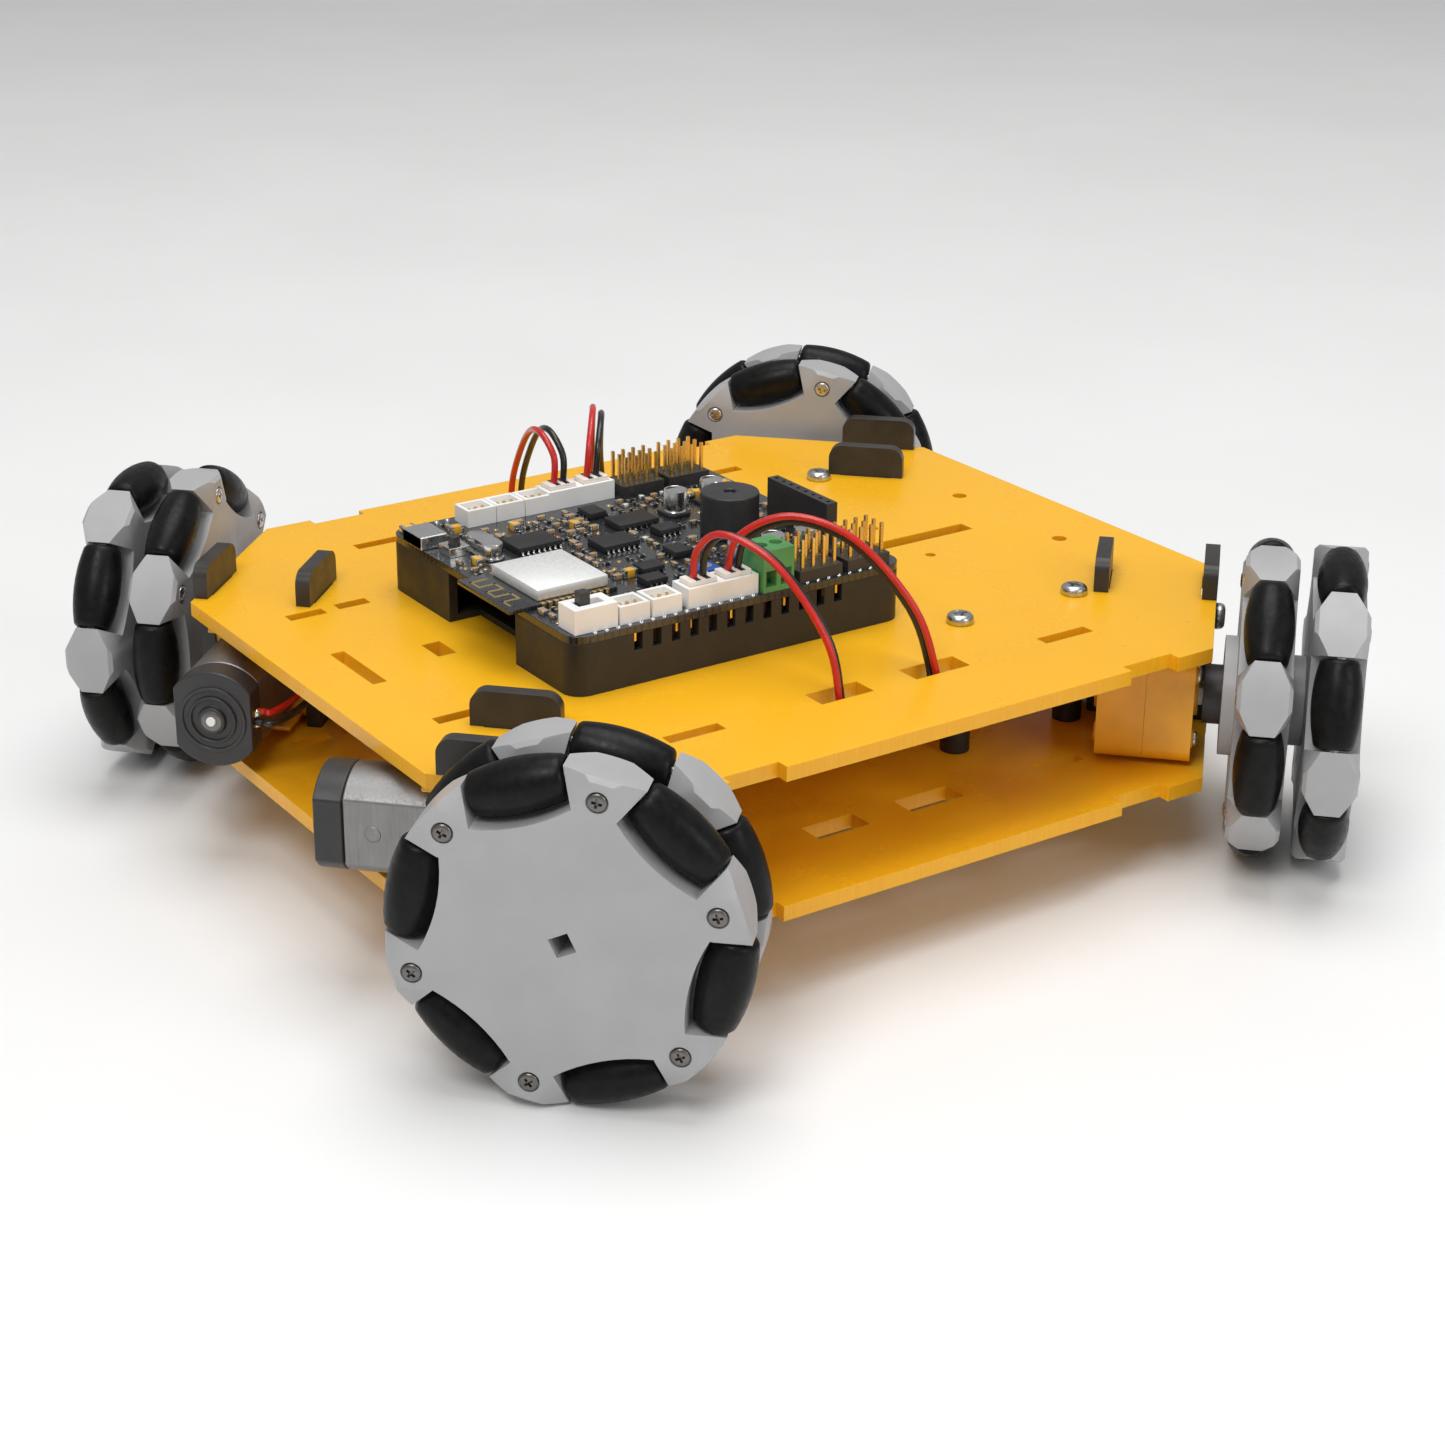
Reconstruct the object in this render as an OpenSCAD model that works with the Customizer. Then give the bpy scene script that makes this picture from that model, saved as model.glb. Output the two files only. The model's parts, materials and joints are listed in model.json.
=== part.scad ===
// Small kit robot: two acrylic plates, four geared motors set at 45 degrees on
// the cut corners, four double-row omni wheels and a controller board on top.
// Millimetres. The origin is on the ground under the middle of the chassis,
// +Z is up, the robot's front is -Y and its left side is +X.

/* [Chassis] */
// Width of both plates, from side to side
plate_w = 163; // [158:1:168]
// Length of both plates, from front to rear
plate_l = 188; // [184:1:192]
// How far each corner of a plate is cut back, along both edges
corner_cut = 32; // [31:0.5:33]
// Thickness of each acrylic plate
plate_t = 3; // [2:0.5:4]
// Clear height between the two plates
plate_gap = 24.5; // [24:0.1:26]
// Diameter of the standoffs between the plates
standoff_d = 6; // [5:0.5:7]

/* [Wheels] */
// Radius of a wheel over its rollers
wheel_r = 32; // [31:0.5:33]
// Distance from the robot's centre to the middle of each wheel
wheel_out = 118.3; // [118:0.1:121]
// Distance between the two rows of rollers of one wheel
row_pitch = 13.4; // [13.2:0.1:14]
// Largest diameter of a roller
roller_d = 9.6; // [9.2:0.1:10]
// Length of a roller
roller_l = 17.2; // [16.4:0.1:17.6]
// Diameter of the steel pin that a roller turns on
pin_d = 2; // [1.5:0.1:2.2]
// Radius of the plastic discs that hold the rollers
disc_r = 31.3; // [30.5:0.1:31.4]
// Thickness of one of these discs
disc_t = 10.4; // [10:0.1:10.8]

/* [Drive] */
// Width of a gearbox along its output shaft
gearbox_w = 18.8; // [18:0.1:19.2]
// Height of a gearbox
gearbox_h = 22.5; // [21:0.5:23.5]
// Distance from the output shaft to the closed end of the gearbox
gearbox_nose = 11.3; // [10:0.1:12]
// Distance from the output shaft to the motor end of the gearbox
gearbox_tail = 26; // [25:0.5:27]
// Diameter of the motor can
can_d = 20; // [18:0.5:20.5]
// Width of the motor can over its two flats
can_flat = 15.4; // [14:0.1:16]
// Length of the metal can that shows
can_l = 22.5; // [20:0.5:24]
// Diameter of the plastic output shaft
shaft_d = 5.4; // [5:0.1:5.6]
// Width of the shaft over the flats at its ends
shaft_flat = 3.7; // [3.4:0.1:4]
// How far the shaft stands out of each side of the gearbox
shaft_out = 9.1; // [8.5:0.1:9.3]
// Distance between the two mounting holes of a gearbox
mount_pitch = 17.5; // [17:0.1:18]
// Distance from the output shaft to these holes
mount_back = 20.9; // [20:0.1:21.5]

/* [Brackets] */
// Thickness of a motor bracket
bracket_t = 3; // [2.5:0.5:3]
// Width of the part of a bracket that passes through the plates
shank_w = 11.4; // [10:0.1:12]
// Width of the head that rests on the top plate
head_w = 17; // [15:0.5:18]
// Height of this head
head_h = 7; // [5:0.5:8]

/* [Controller] */
// Width of the circuit board
board_w = 72; // [70:1:74]
// Length of the circuit board
board_l = 77; // [76:1:80]
// Where the middle of the board lies behind the robot's centre
board_y = -17; // [-18:0.5:-16]
// Height of the tray that carries the board
tray_h = 10.4; // [9.5:0.1:12]
// Thickness of the circuit board
board_t = 1.6; // [1.2:0.1:2]
// Wall of the tray
tray_wall = 2; // [1.6:0.1:2.4]
// Travel of the power switch
switch_travel = 2.5; // [2:0.1:2.6]
// Travel of the reset button
button_travel = 0.5; // [0.3:0.1:0.6]

/* [Leads] */
// Diameter of a motor lead
lead_d = 1.4; // [1.2:0.1:1.8]

/* [Hidden] */
// Roundness of circles: any value over 12 gives a true round
$fn = 48;

// Levels
axle_z = wheel_r;
bay_floor = axle_z - plate_gap / 2;
bay_roof = axle_z + plate_gap / 2;
underside = bay_floor - plate_t;
deck = bay_roof + plate_t;
board_z = deck + tray_h;
board_top = board_z + board_t;

// The four corners: name, direction of the wheel's axle, the side that the
// motor points to, and the turn of the wheel's outer row of rollers
CORNERS = [
    ["front_left", -45, -1, 47],
    ["rear_left", 45, 1, 38],
    ["rear_right", 135, -1, 43],
    ["front_right", -135, 1, 30],
];

// Wheel
ROLLERS_PER_ROW = 6;
roller_ring = wheel_r - roller_d / 2;
roller_step = 360 / ROLLERS_PER_ROW;
roller_end = 0.4;
row_x = row_pitch / 2;
pocket_gap = 0.45;
pocket_half = roller_l / 2 + 0.4;
pin_l = roller_l + 3.4;
pin_play = 0.08;
rim_cut = 0.8;
ridge_half = 1.6;
petal_slope = 30;
neck_play = 0.3;
disc_face = row_x + disc_t / 2;
disc_back = row_x - disc_t / 2;
boss_r = 12;
boss_h = 2.5;
socket_r = 6;
coupling_in = 18;
coupling_out = 8.4;
petal_screw_ring = 27.2;
petal_screw_r = 1.7;
petal_screw_l = 8;
square_hole = 3.6;
seat_play = 0.02;

// Drive
gear_mid = 89.2;
gear_in = gear_mid - gearbox_w / 2;
gear_out = gear_mid + gearbox_w / 2;
cap_l = 5.5;
cap_boss_r = 2.8;
cap_boss_l = 0.9;
bearing_play = 0.05;
bolt_r = 1.5;
bolt_hole_r = 1.6;
bolt_head_r = 2.75;
bolt_head_h = 2;
nut_w = 5.5;
nut_h = 2.4;

// Standoffs and the tray's screws, as [x, y] on the robot's left side
STANDOFFS = [[44, 29.5], [44, 59.2], [31.5, -51]];
TRAY_REAR_SCREW = [31.5, 17];

// Controller: places are measured from the robot's centre
left_row_x = 31.8;
right_row_x = -31;
header_d = 5.8;
header_h = 4;
header_wall = 0.8;
header_floor = 1.2;
plug_h = 5;
motor_plug_l = 8;
PLUGS_LEFT = [-25, -17];
RIGHT_PLUG_SHIFT = 7;
SENSOR_LEFT = [-41, -33.8];
SENSOR_RIGHT = [-38, -31.2, -24.4];
sensor_l = 6.6;
sensor_h = 3.6;
switch_at = [31.8, -49.5];
button_at = [-16.5, -51];
terminal_at = [32, -9];
terminal_size = [7.6, 7.2, 8.6];
terminal_pitch = 3.5;
module_at = [9, -59];
module_size = [20, 24, 0.9];
shield_size = [17.6, 16, 2.4];
usb_size = [7.8, 6, 2.8];
usb_at = [-25, -56];
female_header_size = [20.6, 2.6, 8.6];
female_header_at = [9.5, 15.3];
buzzer_at = [3, 2];
CAPS = [[-12.5, -1], [-14, 9], [21, -8], [21, 0], [21, 8]];
cap_r = 2.6;
cap_h = 5.6;
HEADERS = [[-30.5, 0.5], [-30.5, 12], [31.5, 1.5], [31.5, 13]];
pin_pitch = 2.54;
battery_size = [50, 34, 7];

// Leads: one route for each corner, from the plug on the board over the
// deck, down through a slot and between the plates to the motor's end.
// Each is [x, y, z above the deck] on the robot's left side.
// A route's two leads lie lead_gap apart.
lead_gap = 2.2;
front_left_route = [
    [31.8, -25, 17], [32.5, -24.6, 22.5], [37.5, -22.5, 26.5], [47, -17.5, 22.5],
    [56.5, -13, 10.5], [59.8, -12, 0], [59.8, -12.5, -8], [57, -22, -14.5],
    [50, -40, -16], [41, -54, -16], [34.3, -65.4, -15.5], [27.2, -78.1, -15],
    [21, -86.5, -15], [18.8, -91.4, -15], [20, -92.6, -15], [21.1, -93.7, -15],
];
rear_left_route = [
    [31.8, -17, 17], [33, -15.5, 23.5], [39, -8.5, 27.5], [48, -0.5, 24],
    [56.5, 7, 12], [59.8, 10, 0], [59.8, 11, -8], [58.5, 20, -14.5],
    [53.5, 33, -16], [49, 43, -16], [40.5, 53, -16], [34.3, 65.4, -15.5],
    [27.2, 78.1, -15], [21, 86.5, -15], [18.8, 91.4, -15], [20, 92.6, -15],
    [21.1, 93.7, -15],
];
LEAD_SIDES = 8;
STEPS_PER_SPAN = 2;

// Names
function wheel_nodes(name) =
    [str("hub_", name), str("rollers_", name), str("wheel_pins_", name), str("drive_shaft_", name)];
function front_left_rollers() =
    [for (k = [1:2 * ROLLERS_PER_ROW]) str("roller_front_left_", k)];

// ---------------------------------------------------------------- helpers

// Puts its children on both sides of the robot
module both_sides() {
    children();
    mirror([1, 0, 0]) children();
}

// A corner's own frame: X outward along the axle, Z up
module at_corner(corner) {
    rotate([0, 0, corner[1]]) children();
}

// The same frame with Y towards the motor
module at_drive(corner) {
    at_corner(corner) scale_y(corner[2]) children();
}

module scale_y(side) {
    if (side < 0) mirror([0, 1, 0]) children();
    else children();
}

// A cylinder along X, from x1 to x2
module rod_x(x1, x2, r) {
    translate([x1, 0, 0]) rotate([0, 90, 0]) cylinder(r = r, h = x2 - x1);
}

// A block given by two opposite corners
module block(low, high) {
    translate(low) cube(high - low);
}

// A block that stands on z and is centred on at
module standing(at, z, size) {
    translate([at[0] - size[0] / 2, at[1] - size[1] / 2, z]) cube(size);
}

// A rectangle with round corners, centred
module round_rect(w, l, r) {
    square([w - 2 * r, l], center = true);
    square([w, l - 2 * r], center = true);
    for (x = [-1, 1], y = [-1, 1])
        translate([x * (w / 2 - r), y * (l / 2 - r)]) circle(r = r);
}

module box_cut(x, y, w, l) {
    translate([x - w / 2, y - l / 2]) square([w, l]);
}

// ---------------------------------------------------------------- chassis

// Slots for the two brackets of each motor
module bracket_slots() {
    slot_l = shank_w + 0.4;
    slot_w = bracket_t + 0.3;
    for (c = CORNERS) rotate(c[1]) scale_y(c[2]) {
        box_cut(gear_in - bracket_t / 2, mount_back, slot_w, slot_l);
        box_cut(gear_out + 10 - 0.15, mount_back, 20, slot_l);
    }
}

// Slots for leads, spare brackets and add-ons, on the robot's left side
module left_slots() {
    box_cut(59.8, -12, 5.5, 12);
    box_cut(59.8, 10.5, 5.5, 13);
    box_cut(60.5, 42.5, 3, 12);
    box_cut(60.5, -45, 3, 12);
    box_cut(plate_w / 2, 47, 5, 12);
    box_cut(plate_w / 2, -45.5, 5, 12);
    box_cut(30.5, -77.5, 3, 8);
    box_cut(31, -67, 3, 7);
    translate([10, 49]) circle(r = 1.1);
    translate([17, 78.7]) circle(r = 1.6);
}

module plate_outline() {
    x = plate_w / 2;
    y = plate_l / 2;
    c = corner_cut;
    polygon([
        [x, y - c], [x - c, y], [c - x, y], [-x, y - c],
        [-x, c - y], [c - x, -y], [x - c, -y], [x, c - y],
    ]);
}

module plate(z) {
    translate([0, 0, z]) linear_extrude(plate_t) difference() {
        plate_outline();
        bracket_slots();
        both_sides() left_slots();
        box_cut(0, 54, 4, 26);
        box_cut(0, -64, 7, 4);
        box_cut(0, -81.5, 18, 3);
        both_sides() for (s = STANDOFFS) translate(s) circle(r = bolt_hole_r);
        both_sides() translate(TRAY_REAR_SCREW) circle(r = bolt_hole_r);
    }
}

module top_plate() { color("gold") plate(bay_roof); }
module bottom_plate() { color("goldenrod") plate(underside); }

module standoffs() {
    color("dimgray") both_sides() for (s = STANDOFFS) translate([s[0], s[1], bay_floor])
        difference() {
            cylinder(d = standoff_d, h = plate_gap);
            translate([0, 0, -1]) cylinder(r = bolt_r + seat_play, h = plate_gap + 2);
        }
}

// A pan head screw whose head stands on z, pointing down for side 1
module screw(at, z, side, l) {
    translate([at[0], at[1], z]) scale_z(side) difference() {
        union() {
            cylinder(r = bolt_head_r, h = bolt_head_h);
            translate([0, 0, -l]) cylinder(r = bolt_r, h = l);
        }
        for (a = [0, 90]) rotate(a) translate([-1.5, -0.3, 1.1]) cube([3, 0.6, 2]);
    }
}

module scale_z(side) {
    if (side < 0) mirror([0, 0, 1]) children();
    else children();
}

module nut(h) {
    difference() {
        cylinder(d = nut_w / cos(30), h = h, $fn = 6);
        translate([0, 0, -1]) cylinder(r = bolt_r + seat_play, h = h + 2);
    }
}

// The screws in the tray's corner posts sit on the posts' floor
post_floor = 3;
module chassis_screws() {
    color("silver") both_sides() {
        for (i = [0, 1]) screw(STANDOFFS[i], deck, 1, plate_t + 6);
        screw(STANDOFFS[2], deck + post_floor, 1, post_floor + plate_t + 6);
        screw(TRAY_REAR_SCREW, deck + post_floor, 1, post_floor + plate_t + 4);
        translate([TRAY_REAR_SCREW[0], TRAY_REAR_SCREW[1], bay_roof - nut_h]) nut(nut_h);
        for (s = STANDOFFS) screw(s, underside, -1, plate_t + 6);
    }
}

// ------------------------------------------------------------------ drive

module gearbox_profile() {
    mid = (gearbox_tail - gearbox_nose) / 2;
    translate([mid, 0]) round_rect(gearbox_nose + gearbox_tail, gearbox_h, 3);
}

// One half of a gearbox, its joint face at x = 0 and its outside at x = w
module gearbox_half(w) {
    difference() {
        rotate([90, 0, 90]) linear_extrude(w) gearbox_profile();
        rod_x(-1, w + 1, shaft_d / 2 + bearing_play);
        for (z = [-1, 1]) translate([0, mount_back, z * mount_pitch / 2])
            rod_x(-1, w + 1, bolt_r + 0.05);
        translate([w - 0.8, -gearbox_nose + 3, -gearbox_h / 2 + 3])
            cube([2, 4, gearbox_h - 6]);
    }
}

module gearbox(corner) {
    half = gearbox_w / 2;
    color("gold") at_drive(corner) translate([gear_mid, 0, axle_z]) {
        for (side = [-1, 1]) scale_x(side) translate([seat_play, 0, 0])
            gearbox_half(half - seat_play);
    }
}

// Round stock with two flats, along Y
module flatted(y1, y2, d, flat) {
    intersection() {
        translate([0, y1, 0]) rotate([-90, 0, 0]) cylinder(d = d, h = y2 - y1);
        translate([-flat / 2, y1 - 1, -d]) cube([flat, y2 - y1 + 2, 2 * d]);
    }
}

can_end = gearbox_tail + can_l;
module motor_cans() {
    color("gainsboro") for (c = CORNERS) at_drive(c) translate([gear_mid, 0, axle_z])
        flatted(gearbox_tail, can_end, can_d, can_flat);
}

module motor_end_caps() {
    color("dimgray") for (c = CORNERS) at_drive(c) translate([gear_mid, 0, axle_z]) {
        flatted(can_end, can_end + cap_l, can_d, can_flat + 0.6);
        translate([0, can_end + cap_l, 0]) rotate([-90, 0, 0])
            cylinder(r = cap_boss_r, h = cap_boss_l);
    }
}

// A T-shaped bracket, its inner face at x
module bracket(x) {
    head_round = 3;
    translate([x, mount_back, 0]) difference() {
        rotate([90, 0, 90]) linear_extrude(bracket_t) union() {
            translate([-shank_w / 2, underside]) square([shank_w, deck - underside]);
            translate([-head_w / 2, deck]) square([head_w, head_h - head_round]);
            translate([head_round - head_w / 2, deck])
                square([head_w - 2 * head_round, head_h]);
            for (side = [-1, 1])
                translate([side * (head_w / 2 - head_round), deck + head_h - head_round])
                    circle(head_round);
        }
        for (z = [-1, 1]) translate([0, 0, axle_z + z * mount_pitch / 2])
            rod_x(-1, bracket_t + 1, bolt_hole_r);
    }
}

module inner_brackets() {
    color("dimgray") for (c = CORNERS) at_drive(c) bracket(gear_in - bracket_t);
}

module outer_brackets() {
    color("dimgray") for (c = CORNERS) at_drive(c) bracket(gear_out);
}

module bracket_bolts() {
    outside = gear_out + bracket_t;
    inside = gear_in - bracket_t;
    color("silver") for (c = CORNERS, z = [-1, 1])
        at_drive(c) translate([0, mount_back, axle_z + z * mount_pitch / 2]) {
            rod_x(outside, outside + bolt_head_h, bolt_head_r);
            rod_x(inside - nut_h - 0.8, outside, bolt_r);
            translate([inside - nut_h, 0, 0]) rotate([0, 90, 0]) nut(nut_h);
        }
}

// The output shaft with the black coupling that fills the wheel's socket
module double_d(x1, x2, r, flat) {
    intersection() {
        rod_x(x1, x2, r);
        translate([x1 - 1, -r - 1, -flat / 2]) cube([x2 - x1 + 2, 2 * r + 2, flat]);
    }
}

module drive_shaft(corner) {
    shaft_end = gear_out + shaft_out;
    color("whitesmoke") at_corner(corner) translate([0, 0, axle_z]) {
        rod_x(gear_in, gear_out, shaft_d / 2);
        double_d(gear_in - shaft_out, gear_in, shaft_d / 2, shaft_flat);
        double_d(gear_out, shaft_end, shaft_d / 2, shaft_flat);
        difference() {
            rod_x(wheel_out - coupling_in, wheel_out - coupling_out, socket_r);
            double_d(wheel_out - coupling_in - 1, shaft_end + seat_play,
                shaft_d / 2 + seat_play, shaft_flat + 2 * seat_play);
        }
    }
}

// ------------------------------------------------------------------ wheels

// Radius of a roller at distance u from its middle, so that the rollers'
// outsides make up one round wheel
function barrel(u) = sqrt(wheel_r * wheel_r - u * u) - roller_ring;

module roller_solid() {
    half = roller_l / 2;
    span = half - roller_end;
    steps = 8;
    bore = pin_d / 2 + pin_play;
    rotate_extrude() polygon(concat(
        [[bore, -half], [barrel(half) - roller_end, -half]],
        [for (i = [0:steps]) let (u = span * (2 * i / steps - 1)) [barrel(u), u]],
        [[barrel(half) - roller_end, half], [bore, half]]
    ));
}

// Row 0 is the outer row, row 1 the inner one, turned by half a step
function row_side(row) = row == 0 ? 1 : -1;
function row_turn(corner, row) = corner[3] + row * roller_step / 2;

module at_roller(corner, row, k) {
    at_corner(corner) translate([wheel_out + row_side(row) * row_x, 0, axle_z])
        rotate([row_turn(corner, row) + k * roller_step, 0, 0])
        translate([0, roller_ring, 0]) children();
}

module rollers(corner) {
    color("black") for (row = [0, 1], k = [0:ROLLERS_PER_ROW - 1])
        at_roller(corner, row, k) roller_solid();
}

// Roller n of the front left wheel, 1 to 6 in the outer row, then the inner
module one_roller(n) {
    color("black") at_roller(CORNERS[0], floor((n - 1) / ROLLERS_PER_ROW),
        (n - 1) % ROLLERS_PER_ROW) roller_solid();
}

module petal_screw() {
    rod_x(disc_face - petal_screw_l, disc_face - 0.5, 1);
    rod_x(disc_face - 0.5, disc_face + 0.3, petal_screw_r);
}

// The steel pins of the rollers and the small screws in the petals
module wheel_pins(corner) {
    color("silver") {
        for (row = [0, 1], k = [0:ROLLERS_PER_ROW - 1]) at_roller(corner, row, k)
            translate([0, 0, -pin_l / 2]) cylinder(d = pin_d, h = pin_l);
        at_corner(corner) translate([wheel_out, 0, axle_z]) for (row = [0, 1])
            scale_x(row_side(row)) for (k = [0:ROLLERS_PER_ROW - 1])
                rotate([row_turn(corner, row) + (k + 0.5) * roller_step, 0, 0])
                    translate([0, petal_screw_ring, 0]) petal_screw();
    }
}

module scale_x(side) {
    if (side < 0) mirror([1, 0, 0]) children();
    else children();
}

// How far from the axle the floor of a pocket lies, at distance u from its middle
function pocket_floor(u) = roller_ring - barrel(u) - pocket_gap;

module pocket_outline() {
    steps = 8;
    polygon(concat(
        [for (i = [0:steps]) let (u = pocket_half * (2 * i / steps - 1)) [pocket_floor(u), u]],
        [[wheel_r + 1, pocket_half], [wheel_r + 1, -pocket_half]]
    ));
}

// Cuts that slope a petal's four shoulders down from its ridge to the rollers' ends
module petal_tapers() {
    corner = [pocket_floor(pocket_half), pocket_half];
    neck_turn = roller_step / 2 - atan2(corner[1], corner[0]);
    neck = norm(corner) * [cos(neck_turn), sin(neck_turn)] + [0, neck_play];
    lean = atan2(neck[1] - ridge_half, disc_r - neck[0]);
    cut_size = [disc_t / 2, disc_r / 3, disc_r / 3];
    translate([row_x, 0, 0]) for (face = [0, 1], side = [0, 1])
        mirror([face, 0, 0]) mirror([0, 0, side]) translate([disc_t / 2, neck[0], neck[1]])
            rotate([-lean, 0, 0]) rotate([0, -petal_slope, 0]) cube(cut_size);
}

// One disc of a wheel with its pockets, seen with its outer face on +X
module disc(turn) {
    rotate([turn - roller_step / 2, 0, 0]) difference() {
        rotate([0, 90, 0]) rotate_extrude() polygon([
            [0, disc_back], [disc_r - rim_cut, disc_back], [disc_r, disc_back + rim_cut],
            [disc_r, disc_face - rim_cut], [disc_r - rim_cut, disc_face], [0, disc_face],
        ]);
        for (k = [0:ROLLERS_PER_ROW - 1]) {
            rotate([(k + 0.5) * roller_step, 0, 0]) {
                translate([disc_back - 1, 0, 0]) rotate([90, 0, 90])
                    linear_extrude(disc_t + 2) pocket_outline();
                translate([row_x, roller_ring, -pin_l / 2 - 0.1])
                    cylinder(r = pin_d / 2 + seat_play, h = pin_l + 0.2);
            }
            rotate([k * roller_step, 0, 0]) {
                translate([0, petal_screw_ring, 0]) {
                    rod_x(disc_face - petal_screw_l - 0.2, disc_face + 1, 1 + seat_play);
                    rod_x(disc_face - 0.5, disc_face + 1, petal_screw_r + 0.2);
                }
                petal_tapers();
            }
        }
    }
}

module hub_outer(corner) {
    square_turn = 25;
    color("lightgray") at_corner(corner) translate([wheel_out, 0, axle_z]) difference() {
        disc(row_turn(corner, 0));
        rotate([square_turn, 0, 0]) translate([disc_back - 1, -square_hole / 2, -square_hole / 2])
            cube([disc_t + 2, square_hole, square_hole]);
    }
}

// The inner disc carries the spacer between the rows and the socket's boss
module hub_inner(corner) {
    core_r = 9;
    color("lightgray") at_corner(corner) translate([wheel_out, 0, axle_z]) difference() {
        union() {
            scale_x(-1) disc(row_turn(corner, 1));
            rod_x(-disc_back - 1, disc_back - seat_play, core_r);
            rod_x(-disc_face - boss_h, 1 - disc_face, boss_r);
        }
        rod_x(-disc_face - boss_h - 1, -coupling_out, socket_r + seat_play);
    }
}

// -------------------------------------------------------------- controller

// The tray is open at the front, under the radio module's aerial
module board_tray() {
    inner = tray_wall;
    color("dimgray") difference() {
        union() {
            difference() {
                translate([0, board_y, deck]) linear_extrude(tray_h)
                    round_rect(board_w, board_l, 4);
                translate([0, board_y, deck + 1.4]) linear_extrude(tray_h)
                    round_rect(board_w - 2 * inner, board_l - 2 * inner, 2.5);
            }
            both_sides() for (at = [STANDOFFS[2], TRAY_REAR_SCREW])
                translate([at[0], at[1], deck]) cylinder(r = 4.5, h = tray_h);
        }
        both_sides() for (at = [STANDOFFS[2], TRAY_REAR_SCREW])
            translate([at[0], at[1], deck - 1]) {
                cylinder(r = bolt_hole_r, h = tray_h);
                translate([0, 0, post_floor + 1]) cylinder(r = 3.2, h = tray_h);
            }
        translate([-11, board_y - board_l / 2 - 1, deck - 1]) cube([26, 8, tray_h + 2]);
        for (i = [0:11]) translate([board_w / 2 - 3, -42 + 4.2 * i, deck + tray_h - 3.4])
            cube([5, 1.8, 4]);
    }
}

module circuit_board() {
    color("darkslategray") translate([0, board_y, board_z]) linear_extrude(board_t)
        round_rect(board_w, board_l, 4);
}

module radio_module() {
    color("white") translate([module_at[0], module_at[1], board_top]) {
        translate([-module_size[0] / 2, 0, 0]) cube(module_size);
        translate([-shield_size[0] / 2, module_size[1] - shield_size[1] - 1.2, module_size[2]])
            cube(shield_size);
    }
}

module buzzer() {
    color("black") translate([buzzer_at[0], buzzer_at[1], board_top]) difference() {
        cylinder(d = 12, h = 9);
        translate([0, 0, 8]) cylinder(d = 2.4, h = 2);
    }
}

module capacitors() {
    color("silver") for (at = CAPS) {
        standing(at, board_top, [5.4, 5.4, 0.8]);
        translate([at[0], at[1], board_top + 0.8]) cylinder(r = cap_r, h = cap_h - 0.8);
    }
}

module screw_terminal() {
    w = terminal_size[0];
    color("seagreen") difference() {
        standing(terminal_at, board_top, terminal_size);
        for (side = [-0.5, 0.5])
            translate([terminal_at[0], terminal_at[1] + side * terminal_pitch, board_top]) {
                translate([0, 0, terminal_size[2] - 2]) cylinder(r = 1.3, h = 4);
                translate([w / 2 - 3, -1.2, 1.2]) cube([4, 2.4, 3.2]);
            }
    }
}

// A white socket with its mouth up
module socket(at, l, h) {
    difference() {
        standing(at, board_top, [header_d, l, h]);
        standing(at, board_top + header_floor,
            [header_d - 2 * header_wall, l - 2 * header_wall, h]);
    }
}

module board_connectors() {
    color("white") {
        for (y = PLUGS_LEFT) socket([left_row_x, y], motor_plug_l, header_h);
        for (y = PLUGS_LEFT)
            socket([right_row_x, y + RIGHT_PLUG_SHIFT], motor_plug_l, header_h);
        for (y = SENSOR_LEFT) socket([left_row_x, y], sensor_l, sensor_h);
        for (y = SENSOR_RIGHT) socket([right_row_x, y], sensor_l, sensor_h);
    }
}

// The plugs on the ends of the motor leads
module lead_plugs() {
    play = 0.15;
    size = [header_d - 2 * header_wall - 2 * play, motor_plug_l - 2 * header_wall - 2 * play,
        plug_h - header_floor];
    color("ivory") {
        for (y = PLUGS_LEFT) {
            standing([left_row_x, y], board_top + header_floor, size);
            standing([right_row_x, y + RIGHT_PLUG_SHIFT], board_top + header_floor, size);
        }
    }
}

// Blocks of three-pin rows
HEADER_ROWS = 4;
module pin_headers() {
    color("goldenrod") for (h = HEADERS) {
        standing(h, board_top, [3 * pin_pitch, HEADER_ROWS * pin_pitch, 2.5]);
        for (i = [-1:1], k = [0:HEADER_ROWS - 1])
            standing([h[0] + i * pin_pitch, h[1] + (k - (HEADER_ROWS - 1) / 2) * pin_pitch],
                board_top + 2.5, [0.64, 0.64, 6]);
    }
}

module usb_port() {
    color("silver") translate([usb_at[0] - usb_size[0] / 2, usb_at[1], board_top])
        difference() {
            cube(usb_size);
            translate([0.5, -1, 0.5]) cube([usb_size[0] - 1, usb_size[1], usb_size[2] - 1]);
        }
}

module female_header() {
    holes = 8;
    color("black") difference() {
        standing(female_header_at, board_top, female_header_size);
        for (i = [0:holes - 1])
            translate([female_header_at[0] + (i - (holes - 1) / 2) * pin_pitch - 0.4,
                female_header_at[1] - 0.4, board_top + 2]) cube([0.8, 0.8, 9]);
    }
}

slider_l = 2.2;
module power_switch() {
    color("white") difference() {
        standing(switch_at, board_top, [6, 9.4, 5]);
        standing(switch_at, board_top + 2, [2.6, slider_l + switch_travel + 0.8, 5]);
    }
}

// At rest the slider is at the front end of its slot, which is off
module switch_slider() {
    y = switch_at[1] - switch_travel / 2;
    color("black") standing([switch_at[0], y], board_top + 2.2, [2.2, slider_l, 5.2]);
}

module button_base() {
    color("dimgray") difference() {
        standing(button_at, board_top, [4.6, 4.6, 2]);
        translate([button_at[0], button_at[1], board_top + 0.8]) cylinder(r = 1.3, h = 3);
    }
}

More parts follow.
